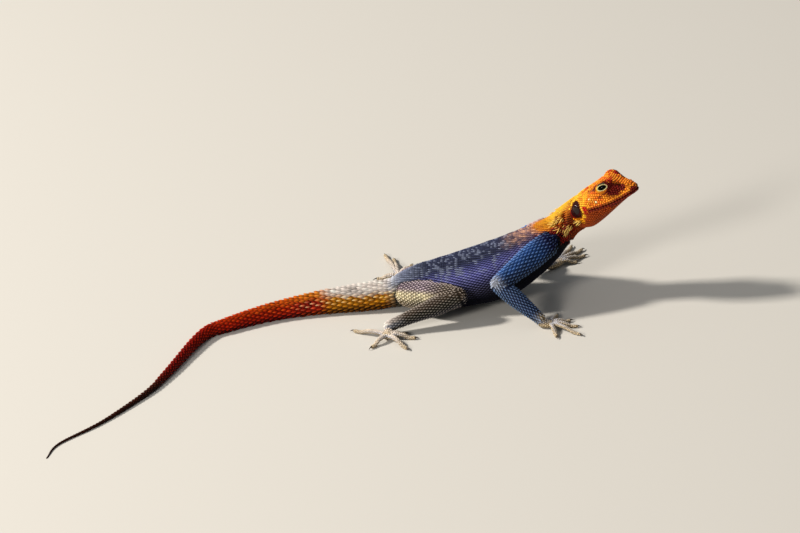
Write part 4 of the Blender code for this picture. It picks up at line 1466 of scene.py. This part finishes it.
def layBrows():
    for sign in (-1, 1):
        shares = np.linspace(0, len(browPath) - 1, 140)
        path = splineAt(browPath, shares)
        steps = lengthsAlong(path)
        for rowIndex, (lower, wide) in enumerate(browRows):
            at = 0.4 * rowIndex
            while at < steps[-1]:
                back, out, up = (float(np.interp(at, steps, path[:, k])) for k in range(3))
                inner = headPoint(back, out * 0.35 * sign, up - 3.2)
                goal = headPoint(back, (out + 0.4 * rowIndex) * sign, up - lower)
                found = surfaceFrom(inner, goal - inner)
                if found is not None:
                    headScale(found, -forward, (wide, wide * 1.35, 0.32), "leaf", 0.5)
                at += wide * 1.02


# Scales round each nostril and ear: half sizes of their ring, how many, and width, length and height of one
rims = {
    "nostril": {"ring": (0.95, 0.85), "count": 8, "size": (0.62, 0.7, 0.3), "shape": "granule", "lie": 1},
    "ear": {"ring": (3.3, 4.0), "count": 26, "size": (0.7, 0.8, 0.34), "shape": "smallLeaf", "lie": -1},
}


def layRim(feature, sign, axes):
    rim = rims[feature]
    first, second, away = axes
    for k in range(rim["count"]):
        turn = 2 * math.pi * k / rim["count"]
        offset = first * math.cos(turn) * rim["ring"][0] + second * math.sin(turn) * rim["ring"][1]
        found = surfaceFrom(pairPoint(feature, sign) + offset - away * 3.0, away, 9.0)
        if found is not None:
            headScale(found, unit(offset * rim["lie"]), rim["size"], rim["shape"], 0.45)


def layNostrilsAndEars():
    for sign in (-1, 1):
        away = unit(left * sign + forward * 0.2 + headUp * 0.15)
        layRim("nostril", sign, (unit(forward - away * (forward @ away)), headUp, away))
        layRim("ear", sign, (earAxes[0], earLean, left * sign))


tuftPlaces = [
    # share of the spine, degrees above the side, number of spines, reach
    (18.55, 45, 7, 1.5),
    (18.05, 47, 6, 1.4),
    (18.22, 24, 6, 1.2),
    (18.85, -8, 7, 1.3),
    (18.45, -7, 6, 1.3),
    (19.25, -15, 7, 1.4),
    (19.0, 32, 6, 1.2),
]


headTuft = {"back": 31.0, "up": -2.2, "count": 9, "reach": 1.5}
tuftSpine = {"wide": 0.62, "long": 2.3, "high": 0.8, "turn": 2.4}  # height is a share of the length


def layTuft(place, normal, backward, count, reach, where):
    across = np.cross(normal, backward)
    for k in range(count):
        turn = tuftSpine["turn"] * k
        spread = reach * math.sqrt((k + 0.4) / count)
        offset = across * (math.cos(turn) * spread) + backward * (math.sin(turn) * spread)
        found = surfaceFrom(place - normal * 3 + offset, normal, 6.0)
        if found is None:
            continue
        lie = unit(backward * 0.9 + normal * 1.1 + across * math.cos(turn) * 0.5)
        long = tuftSpine["long"] * draw.uniform(0.8, 1.15) * (1.1 - 0.35 * spread / reach)
        size = (tuftSpine["wide"], long, long * tuftSpine["high"])
        addScale(found[0], unit(found[1] + normal), lie, size, "spine", where, 0, 0.4)


def layTufts():
    owners = {axis["region"]: k for k, axis in enumerate(axes) if axis["leg"] is None}
    for share, degrees, count, reach in tuftPlaces:
        for sign in (-1, 1):
            found, tangent, angle = bodyPlace(share, degrees, sign)
            where = (regionNames.index("spine"), share, angle, owners["spine"])
            if found is not None:
                layTuft(*found, -tangent, count, reach, where)
    for sign in (-1, 1):
        found = surfaceFrom(headPoint(headTuft["back"], 0.0, headTuft["up"]), left * sign - headUp * 0.1)
        where = (regionNames.index("head"), headTuft["back"], math.pi if sign < 0 else 0.0, owners["head"])
        layTuft(*found, -forward, headTuft["count"], headTuft["reach"], where)


layLids()
layLips()
layNostrilsAndEars()
layBrows()
layTufts()
print("scales of the head and tufts:", len(scales["wide"]))

# Laying the coat: rows along each middle line first
for k, axis in enumerate(axes):
    layRows(axis, k, 0.3 if axis["leg"] is None else 0.0)
print("with the rows of body and legs:", len(scales["wide"]))

# Then scales at points of the skin in random order, where the rows left gaps
filling = {"width": 0.85, "closeness": 0.8}

order = list(range(len(skinPoints)))
draw.shuffle(order)
for k in order:
    region, along, angle, owner, radius = (
        skinPlace[key][k].item() for key in ("region", "along", "angle", "owner", "radius")
    )
    place, normal, lie = skinPoints[k], skinNormals[k], skinPlace["lie"][k]
    if forbidden(place, normal, regionNames[region]):
        continue
    style = styleAt(axes[owner], along)
    size = scaleSize(style, widthAt(axes[owner], along) * filling["width"])
    where = (region, along, angle, owner)
    addScale(place, normal, lie, size, style["shape"], where, 1 / max(radius, 1.0), filling["closeness"])
print("scales in all:", len(scales["wide"]))
coatTable = {key: np.array(value) for key, value in scales.items()}
coatTable["crease"] = locate(coatTable["place"])["crease"]


def metres(points):
    return (np.asarray(points) - poseOrigin) * mm


# How far the tip of a scale turns pale: partly the scales' own pale keels and tips, partly painted highlight
# on the keels
tipGleam = {"other": 0.02, "crest": 0.9, "trunk": 0.45, "limbs": 0.45, "spine": 0.9, "toes": 0.15}
# Lift at which a scale leaves the painted shade at its root, and at which it has its own colour
rootShade = {"tailLeaf": (0.25, 0.8), "leaf": (0.25, 0.85), "spine": (0.1, 0.9), "other": (0.1, 0.8)}
# Row of pale tips along the tail: the scales' own pale keels, with painted highlight on them
crestAt = {"height": 0.36, "width": 0.25, "from": (6.0, 7.8), "to": (11.0, 10.2)}


def tipLooks(table):  # how far each scale's tip turns pale, partly its own colour and partly painted highlight, and its colour there
    along, height = table["along"], np.sin(table["angle"])
    body, limbs = inRegion(table, "spine"), inRegion(table, *limbTones)
    crest = np.exp(-(((height - crestAt["height"]) / crestAt["width"]) ** 2)) * body
    crest *= smoothStep(*crestAt["from"], along) * smoothStep(*crestAt["to"], along)
    trunk = body & (along > 11) & (along < neckStart)
    flank = trunk * smoothStep(0.75, 0.35, height) * smoothStep(-0.4, 0.15, height)
    spines = table["shape"] == shapeNames.index("spine")
    gleam = tipGleam["other"] + tipGleam["crest"] * crest
    gleam = gleam + tipGleam["trunk"] * flank + tipGleam["limbs"] * limbs
    gleam = np.where(inRegion(table, "hand", "foot"), tipGleam["toes"], gleam)
    gleam = np.where(spines, tipGleam["spine"], gleam)
    # pale tip colours: the tips' own paleness, and painted highlight on the keels
    tips = np.where(trunk[:, None], tone("lilac"), tone("pale"))
    for name, share in (
        ("lemon", spines),
        ("flame", body * smoothStep(7.9, 7.3, along)),
        ("sky", limbs),
        ("bone", inRegion(table, "hand", "thigh", "shank", "foot")),
    ):
        tips = mixed(tips, tone(name), 1.0 * share)
    return gleam, tips


def buildScales(name, chosen):
    points, triangles, colours, places = [], [], [], []
    start = 0
    table = {key: value[chosen] for key, value in coatTable.items()}
    tint = paint(table["place"], table, table["chance"])
    gleam, tips = tipLooks(table)
    mapPlaces = unwrapped(table["along"], table["angle"], table["owner"])
    for index, shapeName in enumerate(shapeNames):
        pick = np.flatnonzero(table["shape"] == index)
        if len(pick) == 0:
            continue
        shape = shapes[shapeName]
        x = table["long"][pick, None] * shape["points"][None, :, 0]
        y = table["wide"][pick, None] / 2 * shape["points"][None, :, 1]
        z = table["high"][pick, None] * shape["points"][None, :, 2]
        z = z - y**2 * table["bend"][pick, None] / 2
        lie, normal = table["lie"][pick], table["normal"][pick]
        across = np.cross(normal, lie)
        corner = table["place"][pick, None] + x[..., None] * lie[:, None] + y[..., None] * across[:, None]
        corner = corner + z[..., None] * normal[:, None]
        corner[..., 2] = np.maximum(corner[..., 2], 0.02)
        count = len(shape["points"])
        offsets = start + count * np.arange(len(pick))
        triangles.append((shape["triangles"][None] + offsets[:, None, None]).reshape(-1, 3))
        own = tint[pick, None]
        paintedRootShade = own * (0.08 + 0.6 * own.mean(2, keepdims=True) ** 1.5)  # painted shade at the roots, under the scale in front, darker for dark tones
        shade = rootShade.get(shapeName, rootShade["other"])
        shaded = paintedRootShade + (own - paintedRootShade) * smoothStep(*shade, shape["lift"])[None, :, None]
        # painted highlight, mixed with the scales' own pale tips, along the keel towards the tip
        ridge = gleam[pick, None, None] * smoothStep(0.45, 0.85, shape["lift"])[None, :, None]
        colours.append((shaded + (tips[pick, None] - shaded) * ridge).reshape(-1, 3))
        local = shape["points"][:, :2] * [1.0, 0.5]
        places.append((mapPlaces[pick, None] + 0.003 * local[None]).reshape(-1, 2))
        points.append(corner.reshape(-1, 3))
        start += count * len(pick)
    points, triangles = np.concatenate(points), np.concatenate(triangles)
    mesh = bpy.data.meshes.new(name)
    mesh.vertices.add(len(points))
    mesh.vertices.foreach_set("co", metres(points).astype(np.float32).ravel())
    mesh.loops.add(triangles.size)
    mesh.loops.foreach_set("vertex_index", triangles.astype(np.int32).ravel())
    mesh.polygons.add(len(triangles))
    mesh.polygons.foreach_set("loop_start", np.arange(0, triangles.size, 3, dtype=np.int32))
    mesh.update(calc_edges=True)
    piece = linked(name, mesh)
    paintedMesh(piece, np.clip(np.concatenate(colours), 0, 0.9))
    mapMesh(piece, np.clip(np.concatenate(places), 0, 1), triangles.ravel())
    return piece


def mapMesh(target, places, corners):  # corners are the vertices of the faces in order
    layer = target.data.uv_layers.new(name="OFBake")
    layer.uv.foreach_set("vector", places[corners].astype(np.float32).ravel())


backStart = 10.4
everywhere = (-math.inf, math.inf)
coatPieces = {
    # slot, regions, and where along them
    "tail_scales": ("tail_middle", ["spine"], (-math.inf, backStart)),
    "back_scales": ("torso", ["spine"], (backStart, neckStart)),
    "neck_scales": ("neck", ["spine"], (neckStart, math.inf)),
    "head_scales": ("head", ["head"], everywhere),
    "front_leg_scales": ("front_leg", ["upperArm", "forearm"], everywhere),
    "hind_leg_scales": ("hind_leg", ["thigh", "shank"], everywhere),
    "foot_scales": ("foot", ["hand", "foot"], everywhere),
}
coatObjects = {}
for name, (slotName, regions, (first, last)) in coatPieces.items():
    chosen = inRegion(coatTable, *regions) & (coatTable["along"] >= first) & (coatTable["along"] < last)
    coatObjects[name] = buildScales(name, np.flatnonzero(chosen))
    print(name, len(coatObjects[name].data.polygons), "triangles")


# The skin takes the same markings, darkened as painted shade, as it shows only between the scales
paintedMesh(skin, paint(skinPoints, skinPlace, np.full(len(skinPoints), 0.5)) ** 1.3 * 0.5)
corners = np.empty(len(skin.data.loops), np.int32)
skin.data.loops.foreach_get("vertex_index", corners)
mapMesh(skin, unwrapped(skinPlace["along"], skinPlace["angle"], skinPlace["owner"]), corners)
setPoints(skin.data, metres(skinPoints))
skin.data.shade_smooth()


# Eyes: a round black pupil in a brown iris with a dark rim. The cream ring round them is on the lids
# Half angles in degrees from the middle of the eye, which bulges a little over the pupil
eyeShape = {"pupil": 44, "iris": 56, "rim": 64, "squash": 0.12, "bulge": 0.03, "bulgeWidth": 26}


def buildEye(name, sign):
    ahead, up, away = eyeAxes(sign)
    edges = {eyeShape[key] for key in ("pupil", "iris", "rim")}
    angles = sorted({0.5, *range(3, 178, 3), 179.5} | edges)
    turns = 2 * math.pi * np.arange(72) / 72
    circle = np.outer(np.cos(turns), ahead) + np.outer(np.sin(turns), up)
    rings = []
    for degrees in angles:
        flat = 1 - eyeShape["squash"] * np.abs(np.sin(turns)) * float(smoothStep(100, 60, degrees))
        polar = (math.radians(degrees) * flat)[:, None]
        bulge = 1 + eyeShape["bulge"] * math.exp(-((degrees / eyeShape["bulgeWidth"]) ** 2))
        shell = away * np.cos(polar) * bulge + circle * np.sin(polar)
        rings.append(metres(pairPoint("eye", sign) + shell * headShape["eyeRadius"]))
    ball = loftObject(name, rings)
    # outer angle of each face; the caps at the front and back are the last two
    outer = np.append(np.repeat(angles[1:], len(turns)), [0, 180])
    looks = np.searchsorted([eyeShape["pupil"], eyeShape["iris"]], outer)
    ball.data.polygons.foreach_set("material_index", looks.astype(np.int32))
    ball.data.shade_smooth()
    return ball


eyes = [buildEye("eye_right_ball", -1), buildEye("eye_left_ball", 1)]

# Ear drums, deep in the ears
earDrum = {"sunk": 2.1, "size": (1.9, 0.7, 2.6)}


def buildEarDrums():
    drums = []
    for sign in (-1, 1):
        middle = pairPoint("ear", sign) - left * (sign * earDrum["sunk"])
        size = np.array(earDrum["size"]) * mm
        drums.append(ballObject("drum", metres(middle), size, earAxes))
    return joined("ear_drums", drums)


earDrums = buildEarDrums()
earDrums.data.shade_smooth()

# Claws: short curved hooks that reach down to the floor
claw = {"length": 3.2, "arch": 0.35, "lift": 0.15, "tipHeight": 0.12, "thick": 0.62, "tipRadius": 0.06}


def buildClaws():
    parts = []
    for leg in legs.values():
        for tip in leg["digits"]:
            line, radii, ahead, base = digitLine(leg, tip)
            start = np.array([base[0], base[1], line[-1][2] + claw["lift"]])
            shares = np.linspace(0, 1, 9)
            path = start + np.outer(shares * claw["length"], ahead)
            arch = claw["arch"] * np.sin(shares * math.pi * 0.8)
            path[:, 2] = start[2] + arch - (start[2] - claw["tipHeight"]) * shares**2.2
            size = radii[-1] * claw["thick"] * (1 - shares) ** 0.75 + claw["tipRadius"]
            side, up = repeated(np.cross(skyward, ahead), len(path)), repeated(skyward, len(path))
            ring = ovalRings(path, side, up, np.column_stack([size * 0.7, size, size]), 12, 2)
            ring[..., 2] = np.maximum(ring[..., 2], skinShape["lowest"])
            parts.append(loftObject("claw", metres(ring)))
    return joined("claws", parts)


claws = buildClaws()
claws.data.shade_smooth()
print("eyes, ear drums and claws made")


# Materials. Sizes of grain and relief are in mm
def material(name):
    made = bpy.data.materials.new(name)
    made.use_nodes = True
    return made, made.node_tree.nodes["Principled BSDF"]


def addNode(target, kind, settings=None, links=()):
    made = target.node_tree.nodes.new(kind)
    for key, value in (settings or {}).items():
        if hasattr(made, key):
            setattr(made, key, value)
        else:
            made.inputs[key].default_value = value
    for socket, origin in dict(links).items():
        target.node_tree.links.new(origin, made.inputs[socket])
    return made


def keratin(name, rough, grainSize, relief):  # painted with the colours that the mesh carries
    made, shader = material(name)
    marking = addNode(made, "ShaderNodeVertexColor", {"layer_name": "paint"})
    place = addNode(made, "ShaderNodeTexCoord")
    settings = {"Scale": 1 / (grainSize * mm), "Detail": 3.0}
    grain = addNode(made, "ShaderNodeTexNoise", settings, {"Vector": place.outputs["Object"]})
    settings = {"Strength": 0.5, "Distance": relief * mm}
    bump = addNode(made, "ShaderNodeBump", settings, {"Height": grain.outputs["Fac"]})
    settings = {"To Min": rough - 0.08, "To Max": rough + 0.1}
    spread = addNode(made, "ShaderNodeMapRange", settings, {"Value": grain.outputs["Fac"]})
    links = made.node_tree.links
    links.new(marking.outputs["Color"], shader.inputs["Base Color"])
    links.new(spread.outputs["Result"], shader.inputs["Roughness"])
    links.new(bump.outputs["Normal"], shader.inputs["Normal"])
    shader.inputs["Specular IOR Level"].default_value = 0.08
    return made


def plain(name, code, rough, shine):
    made, shader = material(name)
    shader.inputs["Base Color"].default_value = (*toLinear(code), 1)
    shader.inputs["Roughness"].default_value = rough
    shader.inputs["Specular IOR Level"].default_value = shine
    return made


# Keratin of grown scales: nearly matt, so that dark scales stay dark between their pale tips. The real
# grain is far below 0.1 mm and is drawn at 0.4 mm to show
scaleKeratin = keratin("scale_keratin", 0.5, 0.4, 0.03)
# Thin soft skin between the scales: dull, with a finer grain, also drawn coarser than it is. The paint it
# carries is darkened as painted shade
hideLeather = keratin("hide_between_scales", 0.7, 0.3, 0.03)
# Horn of the claws, worn smooth: dark brown with a soft gloss
hornBrown = plain("claw_horn", "2e221a", 0.35, 0.5)
# Wet clear cornea over the pupil: black with a small sharp glint
pupilBlack = plain("pupil_black", "020202", 0.08, 0.06)
# Iris behind the same cornea: warm brown, less sharp
irisBrown = plain("iris_brown", "6a3a14", 0.3, 0.1)
# White of the eye: dark umber, partly its own dark colour and partly painted shade under the lids; it shows
# only as a thin line beside them
rimUmber = plain("eye_rim_umber", "2a1008", 0.3, 0.2)
# Stretched skin of the ear drum: dark, thin and shiny
drumBrown = plain("ear_drum_skin", "1e0806", 0.2, 0.35)
skin.data.materials.clear()
skin.data.materials.append(hideLeather)
skin.data.polygons.foreach_set("material_index", np.zeros(len(skin.data.polygons), np.int32))
for piece in coatObjects.values():
    piece.data.materials.append(scaleKeratin)
for ball in eyes:
    for look in (pupilBlack, irisBrown, rimUmber):
        ball.data.materials.append(look)
claws.data.materials.append(hornBrown)
earDrums.data.materials.append(drumBrown)


# Each piece rides on the root body; the solids that the skin and the eyes replace are hidden
skin.name = "hide"
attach(skin, "root")
fleshNodes = [name for name in frame["nodes"] if not name.startswith("eye")]
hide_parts(*fleshNodes)
for name, piece in coatObjects.items():
    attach(piece, "root")
for ball, node in zip(eyes, ("eye_right", "eye_left")):
    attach(ball, "root")
    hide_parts(node)
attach(claws, "root")
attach(earDrums, "root")


# Floor, lights and camera
def areaLight(name, place, target, size, power, colour):
    light = bpy.data.lights.new(name, "AREA")
    light.size = size
    light.energy = power
    light.color = colour
    made = linked(name, light)
    made.location = place
    made.rotation_euler = (Vector(target) - Vector(place)).to_track_quat("-Z", "Y").to_euler()


floor = meshObject("floor", [(-6, -6, 0), (6, -6, 0), (6, 6, 0), (-6, 6, 0)], [(0, 1, 2, 3)])
floor.data.materials.append(plain("matt_painted_board", "c9c5be", 0.8, 0.5))  # plain, pale and dull
aim = (0.0, 0.0, 0.02)  # middle of the animal, in metres
areaLight("key", (-2.0, 0.3, 1.75), aim, 0.32, 100, (1.0, 0.95, 0.87))
areaLight("fill", (-1.9, -2.4, 1.5), aim, 0.7, 62, (1.0, 0.96, 0.9))
world = bpy.data.worlds.new("studio")
world.use_nodes = True
background = world.node_tree.nodes["Background"]
background.inputs["Color"].default_value = (0.9, 0.95, 1.0, 1)
background.inputs["Strength"].default_value = 0.22
bpy.context.scene.world = world

camera = {
    "elevation": 25.0,
    "roll": 6.5,
    "distance": 2044.4,
    "perPixel": 0.46,
    "aimHeight": 10.5,  # this height over the middle of the frame
    "aimRow": 286.0,  # shows in this row of the picture
    "middleRow": 266.5,
}
lift, roll = math.radians(camera["elevation"]), math.radians(camera["roll"])
cameraRight = Vector((math.cos(roll), -math.sin(roll) * math.sin(lift), -math.sin(roll) * math.cos(lift)))
cameraUp = Vector((math.sin(roll), math.cos(roll) * math.sin(lift), math.cos(roll) * math.cos(lift)))
cameraBack = cameraRight.cross(cameraUp)
rise = (camera["aimRow"] - camera["middleRow"]) * camera["perPixel"]
target = Vector((0, 0, camera["aimHeight"])) + cameraUp * rise
lens = bpy.data.cameras.new("camera")
lens.lens = 200
lens.sensor_width = 36
lens.clip_end = 20
viewer = linked("camera", lens)
viewer.matrix_world = Matrix((cameraRight, cameraUp, cameraBack)).transposed().to_4x4()
viewer.location = Vector(metres(np.array(target + cameraBack * camera["distance"])))
bpy.context.scene.camera = viewer
bpy.context.scene.view_settings.view_transform = "Standard"
